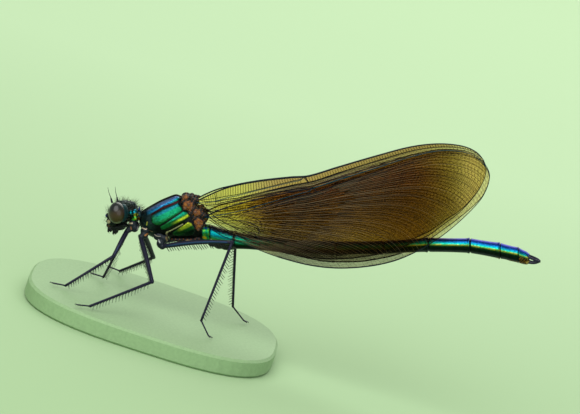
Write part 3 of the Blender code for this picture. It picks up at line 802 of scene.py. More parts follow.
def eye_material():
    """A dark glossy eye with fine facets, brown above and olive below."""
    material, nodes, links, shader = new_material("eye_facets")
    tint = nodes.new("ShaderNodeAttribute")
    tint.attribute_name = "tint"
    links.new(tint.outputs["Color"], shader.inputs["Base Color"])
    coordinates = nodes.new("ShaderNodeTexCoord")
    mapping = nodes.new("ShaderNodeMapping")
    mapping.inputs["Scale"].default_value = (1000.0, 1000.0, 1000.0)
    facets = nodes.new("ShaderNodeTexVoronoi")
    facets.inputs["Scale"].default_value = 26.0
    links.new(coordinates.outputs["Object"], mapping.inputs["Vector"])
    links.new(mapping.outputs["Vector"], facets.inputs["Vector"])
    add_bump(nodes, links, shader, facets.outputs["Distance"], 0.12, 0.00001)
    set_values(shader, roughness=0.28, specular_ior_level=0.35, coat_weight=0.22, coat_roughness=0.05)
    return material


def build_eyes(material):
    pieces = []
    for side, sign in (("left", -1), ("right", 1)):
        data = bmesh.new()
        bmesh.ops.create_uvsphere(data, u_segments=72, v_segments=48, radius=1.0)
        shape = np.array([v.co for v in data.verts])
        faces = [tuple(v.index for v in f.verts) for f in data.faces]
        data.free()
        height = shape[:, 2] - 0.25 * shape[:, 0]
        colours = np.tile((0.007, 0.008, 0.010), (len(shape), 1)).astype(float)
        colours = mix_colour(colours, smooth_step((0.45 - height) / 0.7), (0.034, 0.015, 0.005))
        colours = mix_colour(colours, smooth_step((-0.25 - height) / 0.45), (0.034, 0.021, 0.002))
        colours = mix_colour(colours, smooth_step((-0.84 - height) / 0.12), (0.08, 0.085, 0.035))
        local = shape * np.array(EYE_SIZE) + np.array((0.0, sign * EYE_SPREAD, 0.0))
        eye = make_mesh(f"eye_{side}_ball", place_many(from_head_many(local)), faces, [material],
                        colours=colours)
        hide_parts(f"eye_{side}")
        pieces.append(eye)
    return pieces


def build_antennae(material):
    pieces = []
    for side, sign in (("left", -1), ("right", 1)):
        pile = Pile()
        start = np.array((-1.02, sign * 0.85, 0.96))
        stem = np.array((-1.16, sign * 0.95, 1.55))
        tip = np.array((-1.48, sign * 1.15, 2.64))
        steps = np.linspace(0.0, 1.0, 10)[:, None]
        thick = start + (stem - start) * steps
        radii = 0.10 - 0.045 * steps[:, 0] + 0.03 * np.sin(steps[:, 0] * math.pi)
        pile.tube(place_many(from_head_many(thick)), radii * MM, 10)
        thin = stem + (tip - stem) * steps + np.array((-0.05, 0.0, 0.0)) * np.sin(steps * math.pi)
        pile.tube(place_many(from_head_many(thin)), (0.042 - 0.026 * steps[:, 0]) * MM, 8)
        feeler = pile.build(f"antenna_{side}_stem", [material])
        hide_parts(f"antenna_{side}")
        pieces.append(feeler)
    return pieces


# The side plates of the thorax as outlines in (x, z), with their colours. Between
# them lie the dark seams.
PLATES = {
    "blue": ((-2.50, 0.42), (-1.87, 0.76), (-0.69, 1.48), (0.98, 2.13), (1.12, 2.30), (0.95, 2.48),
             (0.55, 2.50), (-0.20, 2.20), (-1.07, 1.80), (-1.94, 1.28), (-2.58, 0.86)),
    "green": ((-1.95, 0.30), (-1.86, -0.12), (-1.45, -0.46), (-1.00, -0.46), (1.42, 1.04), (1.50, 1.24),
              (1.34, 1.48), (0.96, 1.88), (-0.68, 1.20), (-1.78, 0.56)),
    "olive": ((-0.92, -0.62), (-0.62, -0.44), (1.62, 1.02), (2.12, 0.86), (2.26, 0.48), (1.62, -0.10),
              (0.20, -0.90), (-0.52, -1.10), (-0.86, -0.92)),
    "rear": ((0.34, -1.38), (0.86, -0.98), (2.05, -0.16), (2.42, -0.26), (2.88, -1.05), (2.60, -1.62),
             (1.90, -1.84), (1.05, -1.84), (0.50, -1.72)),
}
CREAM_STRIPE = ((-0.30, -1.30), (0.25, -1.06), (1.50, -0.36))
CREAM_HOOK = ((-0.12, -1.22), (-0.28, -1.45), (-0.26, -1.78), (-0.10, -1.98))
SHOULDER_MARK = ((-2.36, -0.22), (-2.42, -0.52))
LOWER_MARKS = (((-2.6, -1.02), (-1.8, -1.28)), ((-1.2, -1.75), (-0.7, -1.95)), ((1.6, -2.1), (2.2, -2.12)))


def polygon_depth(x, z, outline):
    """How far points lie inside an outline: above 0 inside, below 0 outside."""
    corners = np.array(outline)
    inside = np.zeros(len(x), dtype=bool)
    nearest = np.full(len(x), 1e9)
    for (x0, z0), (x1, z1) in zip(corners, np.roll(corners, -1, axis=0)):
        length = (x1 - x0) ** 2 + (z1 - z0) ** 2
        along = np.clip(((x - x0) * (x1 - x0) + (z - z0) * (z1 - z0)) / length, 0, 1)
        nearest = np.minimum(nearest, np.hypot(x - x0 - along * (x1 - x0), z - z0 - along * (z1 - z0)))
        crosses = (z0 > z) != (z1 > z)
        if z1 != z0:
            inside ^= crosses & (x < (x1 - x0) * (z - z0) / (z1 - z0) + x0)
    return np.where(inside, nearest, -nearest)


def line_distance(x, z, line):
    nearest = np.full(len(x), 1e9)
    for (x0, z0), (x1, z1) in zip(line, line[1:]):
        length = (x1 - x0) ** 2 + (z1 - z0) ** 2
        along = np.clip(((x - x0) * (x1 - x0) + (z - z0) * (z1 - z0)) / length, 0, 1)
        nearest = np.minimum(nearest, np.hypot(x - x0 - along * (x1 - x0), z - z0 - along * (z1 - z0)))
    return nearest


def along_plate(x, z, start, end):
    """0 at the plate's front end and 1 at its rear end, and -1 to 1 across it."""
    start, end = np.array(start), np.array(end)
    way = end - start
    length = np.linalg.norm(way)
    way = way / length
    run = ((x - start[0]) * way[0] + (z - start[1]) * way[1]) / length
    across = (z - start[1]) * way[0] - (x - start[0]) * way[1]
    return run, across


def colour_thorax(points):
    """The colours of the plates, with the dark red and black seams between them."""
    x, y, z = points.T
    colours = np.tile((0.008, 0.010, 0.011), (len(points), 1)).astype(float)
    colours = mix_colour(colours, 0.8 * smooth_step((-1.2 - x) / 1.0), (0.026, 0.052, 0.058))
    seam = line_distance(x, z, ((-1.87, 0.62), (-0.69, 1.34), (0.98, 2.01)))
    colours = mix_colour(colours, smooth_step((0.11 - seam) / 0.05), (0.030, 0.005, 0.007))

    depth = polygon_depth(x, z, PLATES["blue"])
    run, across = along_plate(x, z, (-2.5, 0.62), (1.05, 2.32))
    plate = np.tile((0.010, 0.17, 0.36), (len(x), 1)).astype(float)
    # Painted sheen: the upper edge of the blue plate is lighter and lilac.
    plate = mix_colour(plate, smooth_step((across - 0.02) / 0.22), (0.13, 0.20, 0.48))
    plate = mix_colour(plate, smooth_step((run - 0.62) / 0.3) * smooth_step((0.12 - across) / 0.2),
                       (0.006, 0.20, 0.15))
    plate = mix_colour(plate, smooth_step((0.16 - run) / 0.2), (0.02, 0.06, 0.10))
    weight = smooth_step((depth + 0.01) / 0.05)[:, None]
    colours = colours * (1 - weight) + plate * weight

    depth = polygon_depth(x, z, PLATES["green"])
    run, across = along_plate(x, z, (-1.8, 0.0), (1.35, 1.45))
    plate = np.tile((0.004, 0.165, 0.075), (len(x), 1)).astype(float)
    plate = mix_colour(plate, smooth_step((across - 0.10) / 0.20), (0.006, 0.12, 0.15))
    plate = mix_colour(plate, 0.8 * smooth_step((0.22 - run) / 0.2), (0.02, 0.20, 0.08))
    plate = mix_colour(plate, 0.7 * smooth_step((-0.22 - across) / 0.2), (0.012, 0.13, 0.03))
    weight = smooth_step((depth + 0.01) / 0.05)[:, None]
    colours = colours * (1 - weight) + plate * weight

    depth = polygon_depth(x, z, PLATES["olive"])
    run, across = along_plate(x, z, (-0.8, -0.75), (2.15, 0.72))
    plate = np.tile((0.008, 0.13, 0.035), (len(x), 1)).astype(float)
    plate = mix_colour(plate, smooth_step((across - 0.08) / 0.16) * smooth_step((run - 0.25) / 0.3),
                       (0.004, 0.19, 0.11))
    # Painted highlight: a bright yellow band across the plate's rear part, below its middle.
    plate = mix_colour(plate, smooth_step((0.10 - across) / 0.2) * smooth_step((run - 0.30) / 0.3),
                       (0.34, 0.42, 0.018))
    plate = mix_colour(plate, smooth_step((-0.16 - across) / 0.16), (0.010, 0.022, 0.008))
    weight = smooth_step((depth + 0.01) / 0.05)[:, None]
    colours = colours * (1 - weight) + plate * weight

    depth = polygon_depth(x, z, PLATES["rear"])
    run, across = along_plate(x, z, (0.45, -1.65), (2.65, -0.55))
    plate = np.tile((0.012, 0.08, 0.02), (len(x), 1)).astype(float)
    plate = mix_colour(plate, smooth_step((across - 0.02) / 0.2) * smooth_step((run - 0.2) / 0.3),
                       (0.34, 0.40, 0.025))
    plate = mix_colour(plate, smooth_step((-0.18 - across) / 0.25), (0.005, 0.022, 0.012))
    weight = smooth_step((depth + 0.01) / 0.05)[:, None]
    colours = colours * (1 - weight) + plate * weight

    cream = (0.70, 0.55, 0.36)
    side = np.abs(y) > 0.5
    for line, width in ((CREAM_STRIPE, 0.07), (CREAM_HOOK, 0.10), (SHOULDER_MARK, 0.09)):
        near = line_distance(x, z, line)
        tone = (0.62, 0.55, 0.10) if line is SHOULDER_MARK else cream
        colours = mix_colour(colours, side * smooth_step((width - near) / 0.04), tone)
    for line in LOWER_MARKS:
        near = line_distance(x, z, line)
        colours = mix_colour(colours, 0.7 * side * smooth_step((0.08 - near) / 0.05), (0.45, 0.30, 0.20))
    crest = smooth_step((0.16 - np.abs(y)) / 0.08) * smooth_step((z - 0.2) / 0.3)
    return mix_colour(colours, crest, (0.006, 0.007, 0.008))


def plate_relief(points):
    """How far the thorax bulges at each point: plates stand up between sunk seams."""
    x, y, z = points.T
    relief = np.full(len(x), -0.055)
    for outline in PLATES.values():
        depth = polygon_depth(x, z, outline)
        relief = np.maximum(relief, -0.055 + 0.085 * smooth_step((depth + 0.03) / 0.16))
    crest = smooth_step((0.14 - np.abs(y)) / 0.1) * smooth_step((z - 0.4) / 0.3)
    return relief + 0.11 * crest


THORAX_ROWS, THORAX_AROUND = 170, 220


def smooth_rows(table, count):
    """Rows read along a smooth curve through a table of rows."""
    rows = []
    for k in range(count):
        position = k / (count - 1) * (len(table) - 1)
        index = min(int(position), len(table) - 2)
        t = position - index
        start, end = np.array(table[index]), np.array(table[index + 1])
        before = np.array(table[max(index - 1, 0)])
        after = np.array(table[min(index + 2, len(table) - 1)])
        rows.append(start + 0.5 * t * (end - before + t * (2 * before - 5 * start + 4 * end - after
                    + t * (3 * (start - end) + after - before))))
    return np.array(rows)


def build_thorax(skins):
    table = ((-3.32, 0.15, -0.60, 0.25),) + THORAX + ((3.75, 0.10, -1.95, 0.60),)
    rows = smooth_rows(table, THORAX_ROWS)
    angles = np.linspace(0.0, 2 * math.pi, THORAX_AROUND, endpoint=False)
    points, outward = [], []
    for x, top, bottom, half_width in rows:
        rise, reach = np.sin(angles), np.cos(angles)
        width = half_width * (1.0 - THORAX_NARROW_TOP * np.maximum(rise, 0.0))
        ring = np.stack((np.full_like(angles, x), width * reach,
                         (top + bottom) / 2 + rise * (top - bottom) / 2), axis=1)
        push = np.stack((np.zeros_like(angles), reach / half_width, rise * 2 / (top - bottom)), axis=1)
        points.append(ring)
        outward.append(push / np.linalg.norm(push, axis=1)[:, None])
    points, outward = np.concatenate(points), np.concatenate(outward)
    faces = grid_faces(THORAX_ROWS, THORAX_AROUND, wrap=True)
    last = (THORAX_ROWS - 1) * THORAX_AROUND
    faces.append(tuple(reversed(range(THORAX_AROUND))))
    faces.append(tuple(range(last, last + THORAX_AROUND)))
    colours = colour_thorax(points)
    shaped = points + outward * plate_relief(points)[:, None]
    return [make_mesh("thorax_skin", place_many(shaped), [tuple(reversed(f)) for f in faces],
                      [skins["thorax"]], colours=colours)]


PROTHORAX_LUMPS = mirror_lumps((
    ((-3.82, 0.0, 0.15), (0.46, 0.78, 0.72)),
    ((-4.50, 0.0, 0.28), (0.62, 0.40, 0.42)),
    ((-4.22, 0.34, 0.58), (0.30, 0.40, 0.36)),
    ((-3.80, 0.42, 0.62), (0.36, 0.46, 0.44)),
    ((-3.72, 0.62, 0.10), (0.30, 0.34, 0.34)),
    ((-3.30, 0.0, 0.98), (0.10, 0.60, 0.28)),
    ((-3.30, 0.0, 0.30), (0.45, 0.62, 0.62)),
    ((-3.95, 0.55, -0.15), (0.34, 0.34, 0.40)),
))


def colour_prothorax(points):
    x, y, z = points.T
    colours = np.tile((0.012, 0.030, 0.034), (len(points), 1)).astype(float)
    for sign in (-1, 1):
        for spot, size, tone in (
            ((-4.22, 0.66, 0.70), (0.34, 0.44, 0.30), (0.004, 0.26, 0.30)),
            ((-4.30, 0.70, 0.36), (0.20, 0.44, 0.24), (0.006, 0.09, 0.10)),
            ((-3.74, 0.76, 0.84), (0.36, 0.44, 0.26), (0.004, 0.22, 0.30)),
            ((-3.62, 0.80, 0.50), (0.26, 0.40, 0.20), (0.24, 0.24, 0.012)),
            ((-3.76, 0.90, 0.10), (0.34, 0.38, 0.22), (0.06, 0.34, 0.05)),
            ((-3.66, 0.95, 0.04), (0.16, 0.38, 0.10), (0.34, 0.36, 0.02)),
            ((-3.34, 0.72, -0.10), (0.14, 0.40, 0.30), (0.20, 0.06, 0.015)),
            ((-3.30, 0.50, 1.10), (0.16, 0.30, 0.20), (0.008, 0.03, 0.30)),
            ((-3.95, 0.90, -0.40), (0.14, 0.30, 0.12), (0.40, 0.32, 0.24)),
        ):
            centre = (spot[0], sign * spot[1], spot[2])
            wider = tuple(1.2 * half for half in size)
            colours = mix_colour(colours, smooth_step(lump_depth(points, centre, wider) * 4.0), tone)
    return colours


HINGE_LUMPS = mirror_lumps((
    ((0.90, 0.62, -2.22), (0.90, 0.46, 0.24)),
    ((2.10, 0.62, -2.26), (1.00, 0.48, 0.26)),
    ((3.00, 0.50, -2.14), (0.60, 0.40, 0.26)),
    ((1.95, 0.0, 2.30), (0.46, 0.40, 0.26)),
    ((2.72, 0.0, 1.78), (0.52, 0.44, 0.26)),
    ((3.42, 0.0, 1.00), (0.46, 0.46, 0.28)),
    ((3.86, 0.0, 0.10), (0.34, 0.44, 0.44)),
    ((1.75, 0.52, 2.30), (0.54, 0.52, 0.44)),
    ((1.55, 0.75, 1.95), (0.30, 0.40, 0.36)),
    ((2.05, 0.90, 1.62), (0.66, 0.42, 0.60)),
    ((2.55, 0.98, 1.62), (0.30, 0.32, 0.46)),
    ((1.62, 1.02, 1.25), (0.26, 0.30, 0.30)),
    ((2.30, 1.10, 0.80), (0.36, 0.30, 0.36)),
    ((3.40, 1.15, 1.05), (0.26, 0.24, 0.26)),
    ((2.76, 1.15, 0.28), (0.36, 0.30, 0.36)),
    ((3.66, 1.20, -0.30), (0.30, 0.26, 0.44)),
    ((2.36, 0.55, 2.42), (0.28, 0.36, 0.26)),
    ((2.72, 0.82, 2.12), (0.36, 0.26, 0.34)),
    ((3.00, 0.88, 2.20), (0.26, 0.20, 0.20)),
    ((2.62, 1.04, 1.20), (0.42, 0.30, 0.44)),
    ((3.02, 1.16, 0.84), (0.56, 0.36, 0.44)),
    ((3.62, 1.34, 0.62), (0.30, 0.24, 0.38)),
    ((3.92, 1.48, 0.56), (0.26, 0.18, 0.22)),
    ((3.15, 1.10, -0.30), (0.60, 0.36, 0.90)),
    ((3.86, 1.40, 0.05), (0.30, 0.20, 0.30)),
))
# Rust coloured plates that stand on the dark hinge, as outlines in (x, z).
HINGE_PLATES = (
    ((1.40, 2.62), (1.90, 2.72), (2.06, 2.47), (1.92, 2.24), (1.47, 2.20)),
    ((1.50, 1.76), (1.75, 2.06), (2.20, 2.12), (2.54, 1.88), (2.58, 1.42), (2.37, 1.06), (1.92, 1.05),
     (1.58, 1.32)),
    ((2.64, 1.01), (2.88, 1.26), (3.19, 1.19), (3.44, 1.00), (3.40, 0.66), (3.10, 0.48), (2.76, 0.60)),
    ((2.68, -0.06), (3.10, 0.28), (3.70, -0.02), (3.62, -0.54), (3.27, -1.05), (3.06, -1.30),
     (2.87, -0.64)),
)


def hinge_depth(points):
    depths = [polygon_depth(points[:, 0], points[:, 2], outline) for outline in HINGE_PLATES]
    return np.max(depths, axis=0)


def hinge_cracks(points):
    """1 on the uneven dark lines that cross the plates and 0 between them."""
    x, y, z = points.T
    wander = 0.22 * np.sin(z * 7.0 + x * 3.0) + 0.10 * np.sin(x * 17.0 - z * 5.0)
    first = np.abs(np.sin((x + wander) * 4.6 + z * 2.1))
    second = np.abs(np.sin((z - wander) * 5.2 - x * 1.7 + 0.8))
    return smooth_step((0.20 - np.minimum(first, second * 1.3)) / 0.12)


def colour_hinges(points):
    """Rust coloured plates, greyish in their middle, with near black skin and knots between."""
    depth = hinge_depth(points)
    cracks = hinge_cracks(points)
    plate = np.tile((0.20, 0.058, 0.014), (len(points), 1)).astype(float)
    patches = np.sin(points[:, 0] * 9.0 + 1.0) * np.sin(points[:, 2] * 8.0)
    plate = mix_colour(plate, 0.8 * smooth_step((patches - 0.1) / 0.5), (0.15, 0.085, 0.065))
    plate = mix_colour(plate, 0.7 * smooth_step((-0.2 - patches) / 0.4), (0.34, 0.13, 0.025))
    plate = mix_colour(plate, 0.85 * cracks, (0.010, 0.008, 0.008))
    weight = (smooth_step((depth + 0.03) / 0.06) * smooth_step((np.abs(points[:, 1]) - 0.42) / 0.1))[:, None]
    dark = np.tile((0.008, 0.008, 0.010), (len(points), 1)).astype(float)
    ridges = np.sin(points[:, 0] * 15.0 + points[:, 2] * 7.0) * np.sin(points[:, 2] * 17.0)
    dark = mix_colour(dark, 0.8 * smooth_step((ridges - 0.45) / 0.25), (0.18, 0.055, 0.015))
    belly = np.hypot((points[:, 0] - 2.05) / 0.42, (points[:, 2] + 2.30) / 0.16)
    dark = mix_colour(dark, 0.8 * smooth_step((1.0 - belly) / 0.4), (0.34, 0.22, 0.11))
    return dark * (1 - weight) + plate * weight


def build_neck_and_hinges(skins):
    verts, faces = blend_lumps(PROTHORAX_LUMPS, 0.045)
    front = make_mesh("prothorax_skin", place_many(verts), faces, [skins["thorax"]],
                      colours=colour_prothorax(verts))
    verts, faces = blend_lumps(HINGE_LUMPS, 0.04, 4)
    colours = colour_hinges(verts)
    raised = 0.10 * smooth_step((hinge_depth(verts) + 0.03) / 0.10) * (1.0 - 0.6 * hinge_cracks(verts))
    verts[:, 1] += np.sign(verts[:, 1]) * (raised - 0.03)
    hinges = make_mesh("hinge_skin", place_many(verts), faces, [skins["hinge"]], colours=colours)
    return [front, hinges]


# The six hips, each a knot of smooth lumps, with pale and brown marks as lines in (x, z); the two neutral grey
# marks are painted highlights.
HIP_LUMPS = {
    "front": (((-3.98, 0.66, -0.62), (0.50, 0.44, 0.50)), ((-3.80, 0.74, -0.98), (0.46, 0.40, 0.46)),
              ((-4.38, 0.88, -1.14), (0.34, 0.30, 0.34)), ((-4.55, 0.98, -1.28), (0.28, 0.26, 0.28))),
    "mid": (((-2.62, 0.95, -1.22), (0.52, 0.46, 0.46)), ((-2.72, 1.15, -1.66), (0.46, 0.40, 0.42)),
            ((-3.02, 1.38, -1.86), (0.30, 0.28, 0.34))),
    "hind": (((-1.10, 0.98, -1.80), (0.66, 0.50, 0.50)), ((-0.62, 1.10, -2.05), (0.52, 0.44, 0.50)),
             ((-0.92, 1.32, -2.55), (0.46, 0.40, 0.52)), ((-0.74, 1.44, -2.86), (0.36, 0.34, 0.32))),
}
HIP_MARKS = (
    (((-4.30, -0.42), (-4.02, -0.40)), 0.10, (0.50, 0.38, 0.26)),
    # A painted highlight.
    (((-3.42, -1.10), (-3.30, -0.80)), 0.13, (0.34, 0.32, 0.32)),
    (((-4.16, -0.80), (-4.10, -1.05)), 0.10, (0.22, 0.09, 0.04)),
    (((-2.98, -0.86), (-2.50, -1.00), (-2.30, -0.86)), 0.07, (0.55, 0.42, 0.30)),
    (((-2.58, -1.62), (-2.36, -1.50)), 0.12, (0.34, 0.13, 0.04)),
    (((-1.62, -1.58), (-1.20, -1.74), (-0.92, -1.72)), 0.05, (0.50, 0.42, 0.36)),
    # A painted highlight.
    (((-1.14, -2.10), (-0.98, -2.36)), 0.09, (0.42, 0.42, 0.44)),
    (((-0.30, -1.86), (-0.22, -2.20)), 0.12, (0.16, 0.11, 0.05)),
)


def build_hips(skins):
    lumps = mirror_lumps([lump for group in HIP_LUMPS.values() for lump in group])
    verts, faces = blend_lumps(lumps, 0.04, 4)
    colours = np.tile((0.010, 0.014, 0.022), (len(verts), 1)).astype(float)
    for line, width, tone in HIP_MARKS:
        near = line_distance(verts[:, 0], verts[:, 2], line)
        colours = mix_colour(colours, 0.9 * smooth_step((width - near) / 0.05), tone)
    return [make_mesh("hip_skin", place_many(verts), faces, [skins["hip"]], colours=colours)]


ABDOMEN_AROUND = 64
# Height on the segment's side from -1, below, to 1, above, and the colour there. The hues follow the metal's colour
# round the body and are partly painted light: the near black underside is painted shade and the bright yellow-green
# band at mid height is a painted highlight.
ABDOMEN_COLOURS = (
    (-1.00, (0.003, 0.005, 0.006)), (-0.50, (0.004, 0.008, 0.007)), (-0.34, (0.005, 0.035, 0.012)),
    (-0.16, (0.012, 0.11, 0.020)), (0.00, (0.16, 0.34, 0.012)), (0.14, (0.04, 0.37, 0.06)),
    (0.30, (0.002, 0.32, 0.24)), (0.50, (0.002, 0.18, 0.31)), (0.70, (0.006, 0.09, 0.34)),
    (0.86, (0.018, 0.040, 0.30)), (0.95, (0.060, 0.045, 0.32)), (1.00, (0.055, 0.028, 0.24)),
)
# The same for the tail: its near black underside is painted shade and its bright green band a little above mid
# height is a painted highlight.
TAIL_COLOURS = (
    (-1.00, (0.003, 0.005, 0.006)), (-0.84, (0.006, 0.010, 0.012)), (-0.66, (0.028, 0.040, 0.050)),
    (-0.48, (0.005, 0.009, 0.008)), (-0.08, (0.004, 0.016, 0.008)), (0.08, (0.006, 0.045, 0.014)),
    (0.19, (0.10, 0.20, 0.016)), (0.28, (0.06, 0.42, 0.09)), (0.39, (0.002, 0.42, 0.30)),
    (0.52, (0.002, 0.20, 0.32)), (0.66, (0.004, 0.10, 0.36)), (0.80, (0.004, 0.050, 0.34)),
    (0.90, (0.008, 0.014, 0.24)), (1.00, (0.024, 0.020, 0.27)),
)
TAIL_START = 22.5
MOTTLE = 0.30


def segment_profile(f):
    """Radius along a segment, which flares at its two ends, and how dark it is there."""
    waist = 1.0 - 0.045 * np.sin(math.pi * np.clip(f, 0, 1))
    groove = 1.0 - 0.11 * np.exp(-((f - 0.012) / 0.020) ** 2)
    lip = 1.0 + 0.070 * np.exp(-((f - 0.970) / 0.028) ** 2)
    dark = np.exp(-((f - 0.01) / 0.022) ** 2) + 0.9 * np.exp(-((f - 0.995) / 0.016) ** 2)
    return waist * groove * lip, np.clip(dark, 0, 1)


def palette_colours(table, rise):
    """Colours read from a table by how high up the side a point is."""
    heights = [row[0] for row in table]
    return np.stack([np.interp(rise, heights, [row[1][c] for row in table]) for c in range(3)], axis=1)


def build_abdomen(skins):
    angles = np.linspace(0.0, 2 * math.pi, ABDOMEN_AROUND, endpoint=False)
    rows, tones = [], []
    draw = random.Random(3)
    everywhere = np.ones(ABDOMEN_AROUND)
    for number, (start, end) in enumerate(zip(ABDOMEN_JOINTS, ABDOMEN_JOINTS[1:]), 1):
        steps = np.unique(np.concatenate((np.linspace(0, 0.06, 7), np.linspace(0.06, 0.93, 16),
                                          np.linspace(0.93, 1.0, 8))))[:-1 if number < 10 else None]
        swell, dark = segment_profile(steps)
        for f, wide, shade in zip(steps, swell, dark):
            x = start + (end - start) * f
            radius = float(abdomen_radius(x)) * wide
            if number == 10:
                radius *= 1.0 - 0.18 * smooth_step((f - 0.7) / 0.3)
            rise = np.sin(angles)
            ring = np.stack((np.full_like(angles, x), radius * np.cos(angles),
                             float(abdomen_centre(x)) + radius * rise), axis=1)
            sag = {9: 0.09 * float(smooth_step((f - 0.2) / 0.4)),
                   10: 0.17 * math.sin(math.pi * (0.18 + 0.68 * f))}.get(number, 0.0)
            ring[:, 2] -= sag * smooth_step((0.25 - rise) / 0.9)
            tone = palette_colours(ABDOMEN_COLOURS, rise)
            rear = float(smooth_step((x - TAIL_START) / 3.5))
            tone = mix_colour(tone, rear * everywhere, palette_colours(TAIL_COLOURS, rise))
            wave = 0.5 + 0.5 * math.sin(x * 3.1 + 1.6 * math.sin(x * 7.7))
            glint = smooth_step((0.10 - np.abs(rise - 0.25)) / 0.07)
            tone = mix_colour(tone, 0.8 * rear * wave * glint, (0.48, 0.34, 0.02))
            front = smooth_step((22.0 - x) / 6.0)
            tone = mix_colour(tone, front * smooth_step((rise - 0.50) / 0.35), (0.004, 0.010, 0.045))
            speckle = np.array([draw.uniform(-MOTTLE, MOTTLE) for _ in angles])
            tone = tone * (1.0 + speckle)[:, None]
            teal = smooth_step((0.46 - np.abs(rise - 0.16)) / 0.3) * smooth_step((14.0 - x) / 4.0)
            tone = mix_colour(tone, 0.85 * teal * (number > 1), (0.001, 0.42, 0.34))
            # Painted shade: the segments that lie under the closed wings are darkened.
            abdomen_wing_shade = smooth_step((x - 11.5) / 3.0) * smooth_step((26.5 - x) / 2.0)
            tone = tone * (1.0 - 0.72 * abdomen_wing_shade)
            if number == 2:
                tone = mix_colour(tone, 0.75 * smooth_step((0.32 - np.abs(rise - 0.26)) / 0.2), (0.001, 0.26, 0.42))
                # Painted highlight: the near white spot low at the front of the second segment.
                cream = np.hypot((f - 0.02) / 0.14, (rise + 0.50) / 0.16)
                below = smooth_step((0.22 - np.abs(rise + 0.42)) / 0.12) * smooth_step((0.9 - f) / 0.3)
                tone = mix_colour(tone, 0.8 * below, (0.16, 0.46, 0.04))
                tone = mix_colour(tone, smooth_step((1.0 - cream) / 0.4), (0.85, 0.78, 0.55))
            if number == 1:
                tone = mix_colour(tone, smooth_step((0.7 - rise) / 0.2), (0.004, 0.20, 0.07))
                patch = np.sin(f * 9.0 + angles * 5.0) * np.sin(angles * 7.0 - f * 4.0)
                tone = mix_colour(tone, 0.8 * smooth_step((patch - 0.1) / 0.3), (0.10, 0.40, 0.03))
                spot = np.hypot((f - 0.45) / 0.34, (rise + 0.42) / 0.20)
                tone = mix_colour(tone, smooth_step((1.0 - spot) / 0.5), (0.62, 0.34, 0.010))
                tone = mix_colour(tone, smooth_step((-0.62 - rise) / 0.1), (0.010, 0.014, 0.014))
                tone = mix_colour(tone, float(smooth_step((0.34 - f) / 0.14)) * everywhere, (0.004, 0.008, 0.010))
            if number >= 8:
                first, level = {8: (0.72, -0.62), 9: (0.30, -0.62), 10: (-0.50, 0.12)}[number]
                patch = np.sin(f * 9.0 * (number - 6) + angles * 6.0) * np.sin(f * 7.0 - angles * 8.0)
                under = smooth_step((level - rise) / 0.25) * smooth_step((f - first) / 0.2)
                tone = mix_colour(tone, 0.9 * under * smooth_step((patch - 0.08) / 0.25), (0.32, 0.12, 0.016))
            if number == 10:
                tan = np.hypot((f - 0.92) / 0.30, (rise + 0.55) / 0.30)
                tone = mix_colour(tone, smooth_step((1.0 - tan) / 0.4), (0.55, 0.31, 0.09))
            tone = mix_colour(tone, 0.92 * shade * everywhere, (0.006, 0.010, 0.014))
            rows.append(ring)
            tones.append(tone)
    points, colours = np.concatenate(rows), np.concatenate(tones)
    faces = grid_faces(len(rows), ABDOMEN_AROUND, wrap=True)
    last = (len(rows) - 1) * ABDOMEN_AROUND
    faces.append(tuple(reversed(range(ABDOMEN_AROUND))))
    faces.append(tuple(range(last, last + ABDOMEN_AROUND)))
    faces = [tuple(reversed(face)) for face in faces]
    tail = make_mesh("abdomen_skin", place_many(points), faces, [skins["abdomen"]], colours=colours)
    pouch_lumps = mirror_lumps((
        ((4.70, 0.0, -2.82), (0.62, 0.40, 0.32)), ((5.35, 0.0, -3.00), (0.62, 0.42, 0.38)),
        ((6.10, 0.0, -3.10), (0.66, 0.44, 0.40)), ((6.70, 0.0, -3.14), (0.50, 0.34, 0.30)),
        ((5.7, 0.30, -2.9), (0.9, 0.24, 0.32)),
    ))
    verts, faces = blend_lumps(pouch_lumps, 0.045, 2)
    dark = np.tile((0.012, 0.016, 0.014), (len(verts), 1)).astype(float)
    pouch = make_mesh("pouch_skin", place_many(verts), faces, [skins["head"]], colours=dark)
    return [tail, pouch]


def build_claspers(material):
    """Two upper claspers bow out and curve in at their tips over two short lower ones."""
    pieces = []
    for side, sign in (("left", -1), ("right", 1)):
        upper = ((38.60, 0.34, -3.93), (39.05, 0.52, -4.09), (39.45, 0.56, -4.28), (39.75, 0.42, -4.42),
                 (39.93, 0.20, -4.52))
        lower = ((38.60, 0.28, -4.50), (39.05, 0.38, -4.62), (39.45, 0.34, -4.62), (39.80, 0.18, -4.56))
        for name, path, radii in (("cercus", upper, (0.19, 0.13, 0.12, 0.14, 0.10)),
                                  ("paraproct", lower, (0.17, 0.12, 0.11, 0.10))):
            steps = np.linspace(0.0, 1.0, 18)
            line = np.array([read_curve(path, f) for f in steps]) * np.array((1.0, sign, 1.0))
            wide = np.interp(steps, np.linspace(0, 1, len(radii)), radii)
            pile = Pile()
            pile.tube(place_many(line), wide * MM, 12)
            clasp = pile.build(f"{name}_{side}_hook", [material])
            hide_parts(f"{name}_{side}")
            pieces.append(clasp)
    return pieces


def leg_path(leg):
    """A leg's joints in world metres, from the end of its hip to its toe."""
    ankle_x, ankle_y, height = leg[3]
    return place(leg[1]), place(leg[2]), on_floor(ankle_x, ankle_y, height - 0.14), on_floor(*leg[4], 0.07)


def stretch_tube(pile, start, end, widths, sides=12, bow=0.0, index=0):
    """A stretch of a leg, its widths in millimetres given evenly along it."""
    steps = np.linspace(0.0, 1.0, 16)
    line = np.array(start)[None, :] * (1 - steps[:, None]) + np.array(end)[None, :] * steps[:, None]
    line[:, 2] += bow * MM * np.sin(steps * math.pi)
    wide = np.interp(steps, np.linspace(0, 1, len(widths)), widths)
    pile.tube(line, wide * MM, sides, index)
    return line, wide


